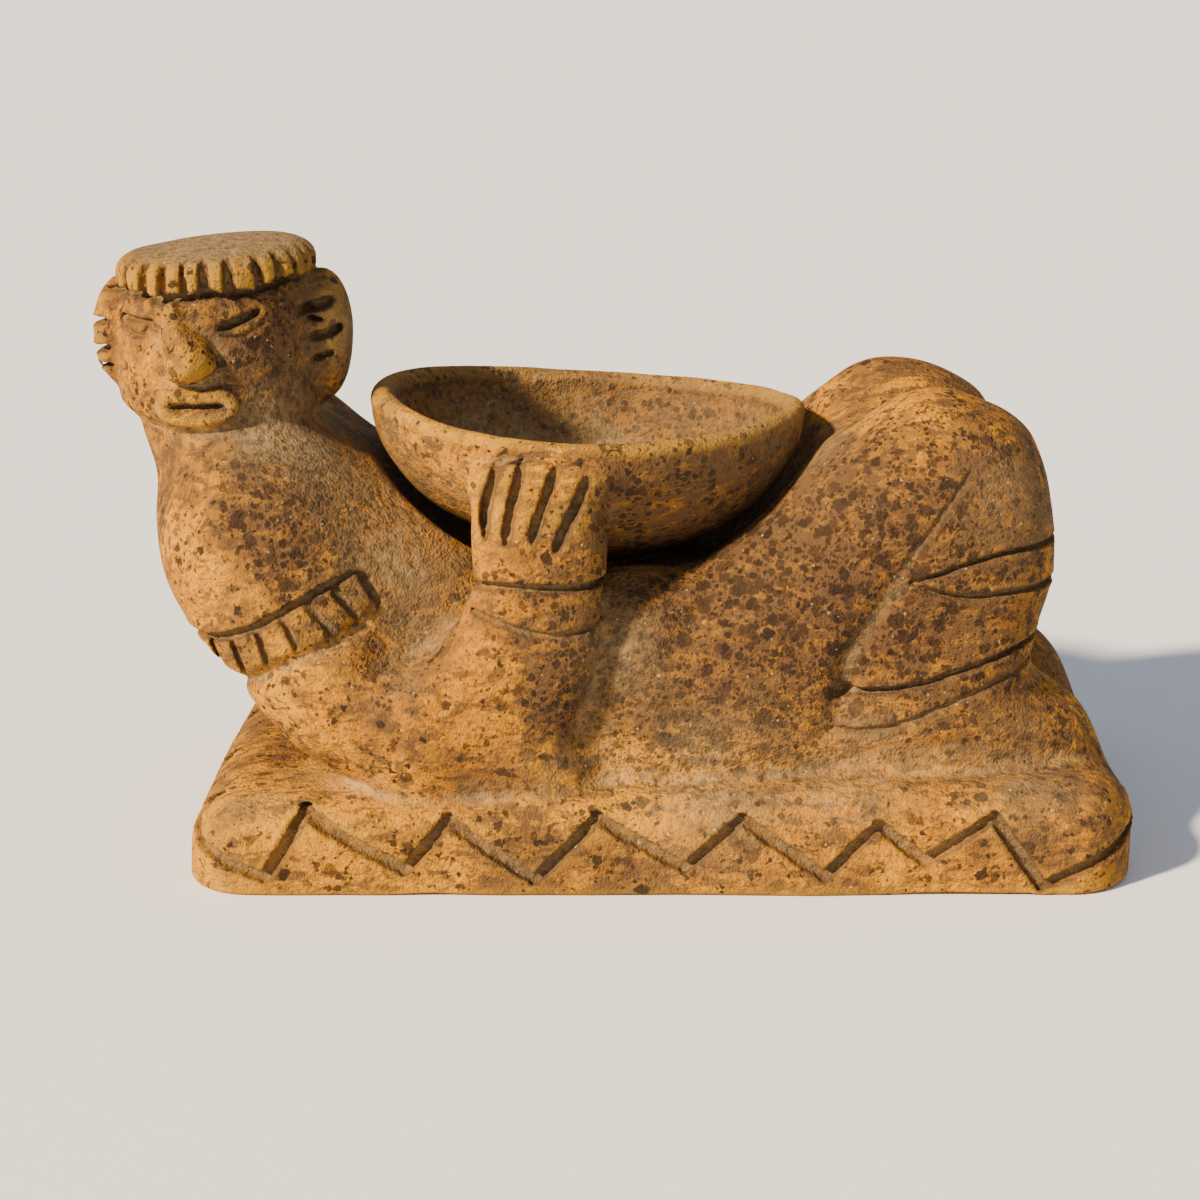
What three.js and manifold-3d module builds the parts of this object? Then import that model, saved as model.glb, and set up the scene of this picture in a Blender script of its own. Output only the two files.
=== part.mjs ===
// A chac mool of fired clay: a figure lying back on its elbows with its knees drawn up and its head
// turned to the side, holding an offering bowl over its lap, on a slab with a zigzag carved round its rim.
// It is modelled in one lump, so it is one solid. Millimetres, +Z up, +X towards the feet, and the face
// looks along -Y. The origin is on the slab's underside, in the middle.
import * as THREE from 'three';
import { mergeVertices } from 'three/addons/utils/BufferGeometryUtils.js';
import Module from 'manifold-3d';

const wasm = await Module();
wasm.setup();

// The figure's length from the back of its head to its toes. Its pose, proportions and carving are drawn
// in units, of which this length has 190.
const FIGURE_LENGTH = 190;
const UNIT = FIGURE_LENGTH / 190;

// The slab.
const SLAB_MARGIN_HEAD = 29.5; // from the elbows to the end under the head
const SLAB_MARGIN_FEET = 3; // past the toes
const SLAB_MARGIN_SIDE = 2.5; // past the elbows, to each side
const SLAB_CORNER = 13; // corner radius in plan
const SLAB_HEIGHT = 16.5; // at the end under the head
const SLAB_RISE = 4; // how much higher the slab is at the feet
const SLAB_SHOULDER = 8; // how far in the rounded top edge reaches
const SLAB_FOOT_ROUND = 1.6; // the rounded bottom edge

// The bowl.
const BOWL_DIAMETER = 82;
const BOWL_DEPTH = 29.3; // outside, from the lowest point up to where the lip rolls over
const BOWL_WALL = 4.2;
const BOWL_TILT = 2.3; // degrees, down towards the feet
const BOWL_TILT_BACK = 1; // degrees, down towards the far side
const BOWL_SEAT = 2; // how deep the bowl is pressed into the belly
const BOWL_SWELL = 0.86; // under 1 swells the sides of the round bowl, over 1 draws them in

// The headdress, a flat cap with a fluted edge.
const CAP_HEIGHT = 8;
const CAP_OVERHANG = 0.4; // past the forehead
const CAP_FLUTES = 22;
const CAP_FLUTE_DEPTH = 1.1;
const CAP_TILT = 4; // degrees, down on the head's right

// The strokes of the carving tool.
const ZIGZAG_WIDTH = 2.4;
const ZIGZAG_DEPTH = 1.3;
const ZIGZAG_LOW = 3.2; // heights of the turning points above the ground
const ZIGZAG_HIGH = 14.4;
const ZIGZAG_PITCH = 24.6;
const ZIGZAG_MITRE = 1.35; // how much wider the notch is at its turns
const BAND_WIDTH = 1.6; // the pairs of lines round the arms, wrists, knees and ankles
const BAND_DEPTH = 0.9;
const SLIT_WIDTH = 2.2; // fingers, ears, eyes and mouth
const SLIT_DEPTH = 1.4;

const CLAY = new THREE.MeshStandardMaterial({ color: 0xb0793c, roughness: 0.78, metalness: 0 });

// Solids and joining.

// A closed three.js geometry as a solid.
function solid(geometry) {
  const bare = geometry.index ? geometry.toNonIndexed() : geometry.clone();
  for (const name of Object.keys(bare.attributes)) {
    if (name !== 'position') bare.deleteAttribute(name);
  }
  const merged = mergeVertices(bare, 1e-4);
  return new wasm.Manifold(
    new wasm.Mesh({
      numProp: 3,
      vertProperties: merged.attributes.position.array,
      triVerts: new Uint32Array(merged.index.array),
    }),
  );
}

const join = (solids) => solids.reduce((whole, next) => whole.add(next));
const carve = (body, cutters) => cutters.reduce((left, cutter) => left.subtract(cutter), body);

function geometryOf(made) {
  const mesh = made.getMesh();
  const geometry = new THREE.BufferGeometry();
  geometry.setAttribute('position', new THREE.BufferAttribute(mesh.vertProperties, 3));
  geometry.setIndex(new THREE.BufferAttribute(mesh.triVerts, 1));
  geometry.computeVertexNormals();
  return geometry;
}

// A skin over rings of points that run anticlockwise seen from the last ring. It is closed by a fan at
// each end, or runs back into its first ring.
function skin(rings, isLoop = false) {
  const sides = rings[0].length;
  const points = rings.flat();
  const faces = [];
  for (let r = 0; r + (isLoop ? 0 : 1) < rings.length; r++) {
    for (let s = 0; s < sides; s++) {
      const [a, b] = [r * sides + s, r * sides + ((s + 1) % sides)];
      const [c, d] = [a, b].map((below) => (below + sides) % points.length);
      faces.push(a, b, d, a, d, c);
    }
  }
  if (isLoop) return new THREE.BufferGeometry().setFromPoints(points).setIndex(faces);
  const middle = (ring) =>
    ring.reduce((sum, p) => sum.add(p), new THREE.Vector3()).divideScalar(sides);
  const first = points.push(middle(rings[0])) - 1;
  const last = points.push(middle(rings.at(-1))) - 1;
  const end = (rings.length - 1) * sides;
  for (let s = 0; s < sides; s++) {
    const next = (s + 1) % sides;
    faces.push(first, next, s, last, end + s, end + next);
  }
  return new THREE.BufferGeometry().setFromPoints(points).setIndex(faces);
}

// A limb: sections along a smooth spine, rounded over at both ends. Each station is a point, its half
// thickness in the plane of the spine and its half breadth across the figure, in units. A section is an
// ellipse, or squarer where fullness is over 1, and a share of the half thickness, roundness, is how far the
// rounded ends reach. A groove runs round the limb at each share of its spine that grooves lists.
function limb(stations, { sides = 12, steps = 2, fullness = 1, roundness = 1, grooves = [] } = {}) {
  const spine = new THREE.CatmullRomCurve3(stations.map(([point]) => point));
  const halves = new THREE.CatmullRomCurve3(
    stations.map(([, thick, broad]) => new THREE.Vector3(thick, broad, 0).multiplyScalar(UNIT)),
  );
  // The point of the skin at a share of the spine and a turn in degrees, from +Y upwards and over.
  const on = (u, turn, { sunk = 0, slide = 0, shrink = 1 } = {}) => {
    const along = spine.getTangent(u);
    const across = new THREE.Vector3(0, 1, 0);
    across.addScaledVector(along, -across.dot(along)).normalize();
    const up = new THREE.Vector3().crossVectors(along, across);
    const half = halves.getPoint(u);
    const swell = (v) => Math.sign(v) * Math.abs(v) ** (1 / fullness);
    const angle = THREE.MathUtils.degToRad(turn);
    return spine
      .getPoint(u)
      .addScaledVector(along, slide * roundness * half.x)
      .addScaledVector(across, swell(Math.cos(angle)) * (half.y * shrink - sunk))
      .addScaledVector(up, swell(Math.sin(angle)) * (half.x * shrink - sunk));
  };
  const section = (u, options) => Array.from({ length: sides }, (_, s) => on(u, (360 * s) / sides, options));
  const halfGroove = BAND_WIDTH / 2 / spine.getLength();
  const clear = (u) => grooves.every((groove) => Math.abs(u - groove) > 2 * halfGroove);
  const count = (stations.length - 1) * steps;
  const along = [
    ...Array.from({ length: count + 1 }, (_, i) => ({ u: i / count, sunk: 0 })).filter(({ u }) => clear(u)),
    ...grooves.flatMap((u) => [
      { u: u - halfGroove, sunk: 0 },
      { u, sunk: BAND_DEPTH },
      { u: u + halfGroove, sunk: 0 },
    ]),
  ].sort((a, b) => a.u - b.u);
  const rounding = [0.4, 0.22].map((share) => share * Math.PI);
  const rings = [
    ...rounding.map((a) => section(0, { slide: -Math.sin(a), shrink: Math.cos(a) })),
    ...along.map(({ u, sunk }) => section(u, { sunk })),
    ...rounding.toReversed().map((a) => section(1, { slide: Math.sin(a), shrink: Math.cos(a) })),
  ];
  return { body: solid(skin(rings)), on };
}

// The mark of a round tool drawn through the points, with narrowed ends.
function stroke(points, width, narrowed = 0.4) {
  const tool = 4;
  const rings = points.map((point, i) => {
    const along = points[Math.min(i + 1, points.length - 1)]
      .clone()
      .sub(points[Math.max(i - 1, 0)])
      .normalize();
    const across = Math.abs(along.z) > 0.9 ? new THREE.Vector3(1, 0, 0) : new THREE.Vector3(0, 0, 1);
    across.addScaledVector(along, -across.dot(along)).normalize();
    const out = new THREE.Vector3().crossVectors(along, across);
    const isEnd = i === 0 || i === points.length - 1;
    const radius = (width / 2) * (isEnd ? narrowed : 1);
    return Array.from({ length: tool }, (_, s) => {
      const turn = (2 * Math.PI * s) / tool;
      return point
        .clone()
        .addScaledVector(across, radius * Math.cos(turn))
        .addScaledVector(out, radius * Math.sin(turn));
    });
  });
  return solid(skin(rings));
}

// The pose, in units: x from the middle of the slab, y from its midline, and z above the slab's top.

const ELBOW = { x: -44, y: 37, back: 14, side: 9.5 };
const KNEE = { x: 50.5, y: 18.5, z: 48.5, radius: 19 };
const TOE = { x: 79.5, y: 18.5, tip: 5 };
const TORSO = [
  { x: 33, z: 12, thick: 14, broad: 37 },
  { x: 6, z: 15.5, thick: 17.5, broad: 38 },
  { x: -14, z: 16.5, thick: 17.5, broad: 38.5 },
  { x: -35, z: 23, thick: 18.5, broad: 39 },
  { x: -55, z: 34, thick: 19, broad: 39.5 },
  { x: -72, z: 44.5, thick: 18, broad: 35 },
  { x: -79, z: 48.5, thick: 13, broad: 27 },
];
const BELLY = TORSO[2];

const slabEnds = {
  head: ELBOW.x * UNIT - (ELBOW.back * UNIT + SLAB_MARGIN_HEAD),
  feet: (TOE.x + TOE.tip) * UNIT + SLAB_MARGIN_FEET,
};
const slabHalfLength = (slabEnds.feet - slabEnds.head) / 2;
const slabMiddle = (slabEnds.feet + slabEnds.head) / 2;
const slabHalfWidth = (ELBOW.y + ELBOW.side) * UNIT + SLAB_MARGIN_SIDE;
const slabTop = (x) => SLAB_HEIGHT + (SLAB_RISE * (x - slabEnds.head)) / (2 * slabHalfLength);

// A point of the pose, on the near side (-1) or the far side (1).
const at = (x, y, z, side = 1) => new THREE.Vector3(x * UNIT, y * side * UNIT, slabTop(x * UNIT) + z * UNIT);

const bowlRadius = BOWL_DIAMETER / 2;
const bowlFoot = at(BELLY.x + 1.2, 0, BELLY.z + BELLY.thick).setY(0);
bowlFoot.z -= BOWL_SEAT;

// The slab: a rounded rectangle whose edges roll over, higher at the feet.

// The slab's outline in plan, moved in by inset, with the way out at each of its points.
function slabOutline(inset) {
  const radius = SLAB_CORNER;
  const [reachX, reachY] = [slabHalfLength - radius, slabHalfWidth - radius];
  const corners = [
    [reachX, reachY],
    [-reachX, reachY],
    [-reachX, -reachY],
    [reachX, -reachY],
  ];
  const steps = 4;
  const outline = corners.flatMap(([x, y], quarter) =>
    Array.from({ length: steps + 1 }, (_, i) => {
      const turn = (quarter + i / steps) * (Math.PI / 2);
      const out = new THREE.Vector2(Math.cos(turn), Math.sin(turn));
      return { x: x + out.x * (radius - inset), y: y + out.y * (radius - inset), out };
    }),
  );
  return outline.map((p) => ({ ...p, x: p.x + slabMiddle }));
}

// How far in the slab's edge lies at a share of its height.
const SLAB_EDGE = [
  [0, SLAB_FOOT_ROUND],
  [0.1, SLAB_FOOT_ROUND * 0.15],
  [0.55, 0],
  [0.82, SLAB_SHOULDER * 0.2],
  [0.95, SLAB_SHOULDER * 0.55],
  [1, SLAB_SHOULDER],
];

function slabInset(share) {
  const i = Math.max(1, SLAB_EDGE.findIndex(([height]) => height >= share));
  const [[h0, in0], [h1, in1]] = [SLAB_EDGE[i - 1], SLAB_EDGE[i]];
  return in0 + ((in1 - in0) * (share - h0)) / (h1 - h0);
}

function slab() {
  const rings = SLAB_EDGE.map(([share, inset]) =>
    slabOutline(inset).map((p) => new THREE.Vector3(p.x, p.y, share * slabTop(p.x))),
  );
  return solid(skin(rings));
}

// The zigzag: one notch with a pointed floor, drawn all round the slab in whole strokes.
function zigzag() {
  const outline = slabOutline(0);
  const gaps = outline.map((p, i) => {
    const next = outline[(i + 1) % outline.length];
    return Math.hypot(next.x - p.x, next.y - p.y);
  });
  const round = gaps.reduce((sum, gap) => sum + gap, 0);
  const onSlab = (distance, height) => {
    let left = distance % round;
    let i = 0;
    while (left > gaps[i]) {
      left -= gaps[i];
      i += 1;
    }
    const [a, b] = [outline[i], outline[(i + 1) % outline.length]];
    const t = left / gaps[i];
    const out = a.out.clone().lerp(b.out, t).normalize();
    const inset = slabInset(height / slabTop(a.x));
    const [x, y] = [a.x + (b.x - a.x) * t, a.y + (b.y - a.y) * t];
    return {
      point: new THREE.Vector3(x - out.x * inset, y - out.y * inset, height),
      out: new THREE.Vector3(out.x, out.y, 0),
    };
  };
  const strokes = 2 * Math.round(round / ZIGZAG_PITCH);
  const steps = 2;
  const path = Array.from({ length: strokes * steps }, (_, k) => {
    const turn = (k % (2 * steps)) / steps;
    const height = ZIGZAG_LOW + (ZIGZAG_HIGH - ZIGZAG_LOW) * (1 - Math.abs(1 - turn));
    return onSlab((k * round) / (strokes * steps), height);
  });
  const rings = path.map(({ point, out }, k) => {
    const along = path[(k + 1) % path.length].point.clone().sub(path.at(k - 1).point);
    const isTurn = k % steps === 0;
    const upright = new THREE.Vector3(0, 0, 1);
    const across = isTurn ? upright : new THREE.Vector3().crossVectors(out, along).normalize();
    const half = (ZIGZAG_WIDTH / 2) * (isTurn ? ZIGZAG_MITRE : 1);
    // The tool stands out of the clay by twice the notch's depth, so it is three times as wide there.
    const mouth = point.clone().addScaledVector(out, 2 * ZIGZAG_DEPTH);
    return [
      point.clone().addScaledVector(out, -ZIGZAG_DEPTH),
      mouth.clone().addScaledVector(across, 3 * half),
      mouth.clone().addScaledVector(across, -3 * half),
    ];
  });
  return solid(skin(rings, true));
}

// The body, from the hips to the shoulders.
function torso() {
  const stations = TORSO.map(({ x, z, thick, broad }) => [at(x, 0, z), thick, broad]);
  return limb(stations, { sides: 18, steps: 1, fullness: 1.35 }).body;
}

function neck() {
  return limb(
    [
      [at(-82, -7.5, 76), 15.5, 16.5],
      [at(-81, -6.5, 66), 16.5, 17],
      [at(-78, -5, 56), 17, 19],
      [at(-74, -3, 44), 19, 27],
    ],
    { steps: 1 },
  ).body;
}

// Upper arm, from the shoulder to the elbow, with a fringed band above the elbow.
function upperArm(side) {
  const band = [0.44, 0.6];
  const arm = limb(
    [
      [at(-76, 20, 49, side), 15, 15],
      [at(-75, 25, 42, side), 16, 14],
      [at(-67, 30, 29, side), 14.5, 13],
      [at(-57, 34, 17, side), 14, 11.5],
      [at(ELBOW.x, ELBOW.y, 11.5, side), ELBOW.back, ELBOW.side],
    ],
    { grooves: band },
  );
  // The near arm's band has a fringe, cut on its outer half only.
  const sunk = BAND_DEPTH - BAND_WIDTH / 2;
  const fringe = [120, 150, 180, 210, 240]
    .filter(() => side < 0)
    .map((turn) => stroke(band.map((u) => arm.on(u, turn, { sunk })), BAND_WIDTH, 1));
  return carve(arm.body, fringe);
}

// Forearm and hand: up from the elbow to the bowl, which the flat hand presses from outside.
function forearm(side) {
  const reach = bowlRadius / UNIT;
  const rim = (bowlFoot.z + BOWL_DEPTH - slabTop(-21 * UNIT)) / UNIT;
  const arm = limb(
    [
      [at(-41, ELBOW.y, 10.5, side), ELBOW.back - 0.5, ELBOW.side],
      [at(-33, ELBOW.y, 14, side), 14.5, ELBOW.side],
      [at(-26, ELBOW.y, 23, side), 13.8, ELBOW.side - 0.2],
      [at(-22, ELBOW.y, 36, side), 11.9, ELBOW.side - 1],
      [at(-21.6, reach - 2.5, rim - 18, side), 11.2, 7],
      [at(-21.4, reach - 0.8, rim - 7, side), 11.4, 5.2],
    ],
    { roundness: 0.6, grooves: [0.57, 0.69] },
  );
  // The cuts between the fingers lean a little, and run from the fingertips down the back of the hand.
  const outward = (turn) => (side < 0 ? turn : 180 - turn);
  const sunk = SLIT_DEPTH - SLIT_WIDTH / 2;
  const fingers = [-1.5, -0.5, 0.5, 1.5].map((place) => {
    const tip = arm.on(0.98, outward(184 + 25 * place), { sunk });
    const knuckle = arm.on(0.76, outward(165 + 24 * place), { sunk });
    return stroke([tip, tip.clone().lerp(knuckle, 0.5), knuckle], SLIT_WIDTH);
  });
  return carve(arm.body, fingers);
}

function thigh(side) {
  return limb([
    [at(-3, 20, 14.5, side), 14, 17],
    [at(12, 20, 18, side), 19, 19],
    [at(31, 19, 31, side), 20, 19.5],
    [at(KNEE.x - 6, KNEE.y, KNEE.z - 4, side), KNEE.radius, KNEE.radius],
    [at(KNEE.x, KNEE.y, KNEE.z, side), KNEE.radius, KNEE.radius - 1],
  ]).body;
}

// Lower leg, with a band below the knee and one at the ankle.
function shin(side) {
  return limb(
    [
      [at(KNEE.x + 4, KNEE.y, KNEE.z - 2, side), KNEE.radius, KNEE.radius - 1],
      [at(56.5, KNEE.y, 37, side), 17.2, 18],
      [at(55.5, KNEE.y, 27, side), 16.8, 18],
      [at(52.5, KNEE.y, 16, side), 18.8, 18.5],
      [at(51, KNEE.y, 8, side), 20, 19],
    ],
    { grooves: [0.3, 0.47, 0.76, 0.92] },
  ).body;
}

function foot(side) {
  return limb(
    [
      [at(42, TOE.y + 1, 3, side), 9, 17.5],
      [at(62, TOE.y + 1, 4, side), 11, 17.5],
      [at(73, TOE.y, 2, side), 9, 15.5],
      [at(TOE.x, TOE.y, -1.5, side), TOE.tip, 13],
    ],
    { steps: 1 },
  ).body;
}

// The bowl is a lathe round its own axis, which leans a little and stands on the belly. The hollow has the
// same shape, a wall's thickness in, and the lip between them is round.
function bowlShape(radius, lift, crest) {
  const rings = 5;
  const side = Array.from({ length: rings }, (_, i) => {
    const turn = ((i + 1) / rings) * (Math.PI / 2);
    return new THREE.Vector2(
      radius * Math.sin(turn) ** BOWL_SWELL,
      lift + (BOWL_DEPTH - lift) * (1 - Math.cos(turn)),
    );
  });
  const top = crest.at(-1).y;
  const profile = [new THREE.Vector2(0, lift), ...side, ...crest, new THREE.Vector2(0, top)];
  const geometry = new THREE.LatheGeometry(profile, 26);
  geometry.rotateX(Math.PI / 2);
  geometry.rotateY(THREE.MathUtils.degToRad(BOWL_TILT));
  geometry.rotateX(-THREE.MathUtils.degToRad(BOWL_TILT_BACK));
  geometry.translate(...bowlFoot.toArray());
  return solid(geometry);
}

// The lip's outer (1) or inner (-1) half, without the middle of its crest.
function lipHalf(way) {
  const half = BOWL_WALL / 2;
  return [40, 70].map((degrees) => {
    const turn = THREE.MathUtils.degToRad(degrees);
    const out = bowlRadius - half + way * half * Math.cos(turn);
    return new THREE.Vector2(out, BOWL_DEPTH + half * Math.sin(turn));
  });
}

const bowlOutside = () => bowlShape(bowlRadius, 0, lipHalf(1));

function bowlHollow() {
  const crest = lipHalf(-1);
  const above = crest[1].clone().setY(BOWL_DEPTH + BOWL_WALL);
  return bowlShape(bowlRadius - BOWL_WALL, BOWL_WALL, [...crest, above]);
}

// The head, modelled round its own centre with the face along -Y, then turned and put on the neck. Its
// swellings each have a middle and three half sizes, in units.

const HEAD = { x: -82, y: -5, z: 76.4, turn: 4 };
const SKULL = { middle: [0, 0, 0], halves: [18, 19, 21] };
const LIPS = { middle: [0, -16.8, -7.4], halves: [8, 4.6, 4.7] };
const ear = (side) => ({ middle: [side * 19, 1, 2.6], halves: [5.6, 9.5, 13] });

function ball({ middle, halves }, across, down) {
  const geometry = new THREE.SphereGeometry(UNIT, across, down);
  geometry.rotateX(Math.PI / 2);
  geometry.scale(...halves);
  geometry.translate(...middle.map((v) => v * UNIT));
  return solid(geometry);
}

// A cut on a swelling, through points that are each a turn in degrees from the face towards +X, and a
// height above the swelling's middle.
function slit({ middle, halves }, points, width = SLIT_WIDTH) {
  const sunk = SLIT_DEPTH - width / 2;
  const path = points.map(([degrees, height]) => {
    const turn = THREE.MathUtils.degToRad(degrees);
    const girth = Math.sqrt(1 - (height / halves[2]) ** 2);
    const [halfX, halfY] = [halves[0] * girth * UNIT - sunk, halves[1] * girth * UNIT - sunk];
    return new THREE.Vector3(
      middle[0] * UNIT + halfX * Math.sin(turn),
      middle[1] * UNIT - halfY * Math.cos(turn),
      (middle[2] + height) * UNIT,
    );
  });
  return stroke(path, width);
}

function head() {
  const nose = limb(
    [
      [new THREE.Vector3(-3.4, -16, 9.5).multiplyScalar(UNIT), 2.6, 2.2],
      [new THREE.Vector3(-2.2, -18.3, 4).multiplyScalar(UNIT), 3.4, 3.2],
      [new THREE.Vector3(-0.6, -20, -1).multiplyScalar(UNIT), 4.6, 4.2],
    ],
    { sides: 8, steps: 1 },
  ).body;
  const mouth = slit(LIPS, [[-34, 0], [0, 0.2], [36, 1]], SLIT_WIDTH * 0.7);
  const eyes = [slit(SKULL, [[-66, 8.2], [-48, 7.2], [-31, 6]]), slit(SKULL, [[46, 9.8], [30, 7.6], [15, 6]])];
  const ears = [-1, 1].map((side) => {
    const slits = [5, -0.5, -6].map((height) =>
      slit(ear(side), [[side * 15, height - 1], [side * 55, height], [side * 100, height + 1]]),
    );
    return carve(ball(ear(side), 8, 6), slits);
  });
  const face = carve(join([ball(SKULL, 12, 8), nose, ball(LIPS, 10, 6)]), [mouth, ...eyes]);
  const centre = at(HEAD.x, HEAD.y, HEAD.z);
  return join([face, ...ears, cap()]).rotate([0, 0, -HEAD.turn]).translate(centre.toArray());
}

// The cap's outline swells and narrows once for each flute.
function cap() {
  const [halfWidth, halfDepth, halfHeight] = SKULL.halves;
  const low = (halfHeight - 1.5) * UNIT - CAP_HEIGHT;
  const brim = halfWidth * UNIT + CAP_OVERHANG;
  const profile = [
    [0, brim - 3, 0],
    [0.08, brim, 1],
    [0.65, brim, 1],
    [1, brim - 4, 0],
  ];
  const sides = 2 * CAP_FLUTES;
  const stretch = halfDepth / halfWidth;
  const rings = profile.map(([share, radius, fluted]) =>
    Array.from({ length: sides }, (_, s) => {
      const turn = (2 * Math.PI * s) / sides;
      const out = radius - (s % 2) * fluted * CAP_FLUTE_DEPTH;
      return new THREE.Vector3(
        out * Math.cos(turn),
        out * Math.sin(turn) * stretch,
        low + share * CAP_HEIGHT,
      );
    }),
  );
  return solid(skin(rings)).rotate([0, -CAP_TILT, 0]);
}

const sides = [-1, 1];
const lump = join([
  carve(slab(), [zigzag()]),
  torso(),
  neck(),
  head(),
  bowlOutside(),
  ...sides.flatMap((side) => [upperArm(side), forearm(side), thigh(side), shin(side), foot(side)]),
]);

const chacMool = new THREE.Mesh(geometryOf(carve(lump, [bowlHollow()])), CLAY);
chacMool.name = 'chac_mool';
chacMool.position.x = -slabMiddle;

const model = new THREE.Group();
model.add(chacMool);

export default model;
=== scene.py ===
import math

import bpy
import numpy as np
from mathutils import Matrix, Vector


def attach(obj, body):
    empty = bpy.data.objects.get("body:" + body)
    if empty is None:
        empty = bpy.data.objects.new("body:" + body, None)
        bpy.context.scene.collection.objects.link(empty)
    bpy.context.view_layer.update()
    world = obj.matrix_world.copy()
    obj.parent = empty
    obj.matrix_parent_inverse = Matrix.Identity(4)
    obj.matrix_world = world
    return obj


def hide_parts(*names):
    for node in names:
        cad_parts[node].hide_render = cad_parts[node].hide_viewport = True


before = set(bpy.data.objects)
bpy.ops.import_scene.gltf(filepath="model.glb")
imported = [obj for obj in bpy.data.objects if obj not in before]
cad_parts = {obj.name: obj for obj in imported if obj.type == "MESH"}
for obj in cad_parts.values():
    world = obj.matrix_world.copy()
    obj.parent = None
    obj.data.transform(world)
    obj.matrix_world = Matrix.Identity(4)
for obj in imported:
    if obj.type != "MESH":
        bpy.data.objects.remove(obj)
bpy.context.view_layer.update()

# A chac mool of fired clay, modelled by hand in one lump: a figure lying back on its elbows, with its
# knees drawn up and its head turned to the side, holds an offering bowl on a slab with a zigzag cut round
# it. The clay is worked as a field of distances on a grid: limbs, bowl and slab are pressed together,
# strokes of a tool are cut into it, and its skin is taken off as one mesh. Sizes are in mm until then.

MM = 0.001
FAR = 30.0  # mm, more than any distance that matters
GRID = 0.55  # mm between the points of the field
CLAY_ROOM = ((-110, -53, -3), (93, 53, 119))  # the box that the field covers
MOST_TRIANGLES = 190_000

# The slab.
SLAB_HALF = (87.5, 49.0)
SLAB_CORNER = 13.0
SLAB_HEIGHT = 16.5  # at the end under the head
SLAB_RISE = 4.0  # how much higher it is at the feet
SLAB_SHOULDER = (8.0, 6.2)  # how far the rounded top edge reaches along the sides, inwards and down
SLAB_END_SHOULDER = (12.0, 9.5)  # and at the two ends
SLAB_SKEW = 0.045  # the end under the head isn't quite square to the sides
SLAB_FOOT_ROUND = 1.6

# The bowl, round its own axis.
BOWL_FOOT = (-12.8, 0.0, 50.2)
BOWL_RADIUS = 41.0
BOWL_DEPTH = 30.0
BOWL_WALL = 4.4
BOWL_ROOM = 1.8  # the least gap left between the bowl and its seat in the chest and lap
BOWL_LIP = 2.3  # half the thickness of the rounded rim
BOWL_SWELL = 1.35  # 1 is a ball, more is nearer a cone
SEAT_SWELL = 0.9
SEAT_LOW = 3.2  # the bowl stands on the clay up to here above its foot
BOWL_TILT = (math.radians(2.1), math.radians(1.67))  # down towards the feet, and to the far side
RIM_WAVE = (1.15, -0.45)  # the rim is higher at the head and feet than at the two sides

# The head.
HEAD = (-82.0, -5.0, 93.0)
HEAD_TURN = math.radians(4)
CAP_LOW = 12.7  # above the head's middle
CAP_HEIGHT = 7.4
CAP_RADIUS = 18.5
CAP_FLUTES = 26
CAP_TILT = math.radians(-4.2)
LOCK_DEPTH = 2.2  # how far the flutes between the locks are cut in

# Colours, as they look on the clay.
OCHRE = "#C08210"
ORANGE_OCHRE = "#AA6D12"
PALE_OCHRE = "#CC9828"
BROWN_WASH_AND_SHADE = "#745026"
DARK_WASH_AND_SHADE = "#4E3A2A"
GRIT = "#2C2018"
# Painted shade: the floors of the tool marks are coloured dark, along with the grime that lies in them.
GROOVE_FLOOR_SHADE = "#4C3A2A"
DUST = "#A28A63"
PAINTED_GLINT = "#EBD8AE"
PAPER, PAPER_FIBRE = "#EFF0F4", "#F4F5F9"

# The light.
LAMP_WAY = (-0.67, -0.51, 0.57)  # from the piece to the lamp
LAMP_STRENGTH = 10.2
LAMP_WIDTH = math.radians(5)  # as seen from the piece
LAMPLIGHT = "#FFE9C4"
DAYLIGHT = "#DFE7F5"
DAYLIGHT_STRENGTH = 0.52

# The camera, level from side to side, in metres and degrees.
CAMERA = (-0.0108, -0.483, 0.184)
CAMERA_DOWN = 16.4
SENSOR, LENS = 36, 77.37  # mm


def slab_top(x):
    return SLAB_HEIGHT + SLAB_RISE * (x + SLAB_HALF[0]) / (2 * SLAB_HALF[0])


def on_slab(stations, side=1):
    """Stations x, y, z above the slab and half sizes, on the far side (1) or the near side (-1)."""
    return [(x, y * side, slab_top(x) + z, *halves) for x, y, z, *halves in stations]


# The field.


def merged(a, b, blend):
    """The union of two fields, with a fillet of about that size."""
    if blend <= 0:
        return np.minimum(a, b)
    near = np.maximum(blend - np.abs(a - b), 0) / blend
    return np.minimum(a, b) - near * near * (blend / 4)


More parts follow.
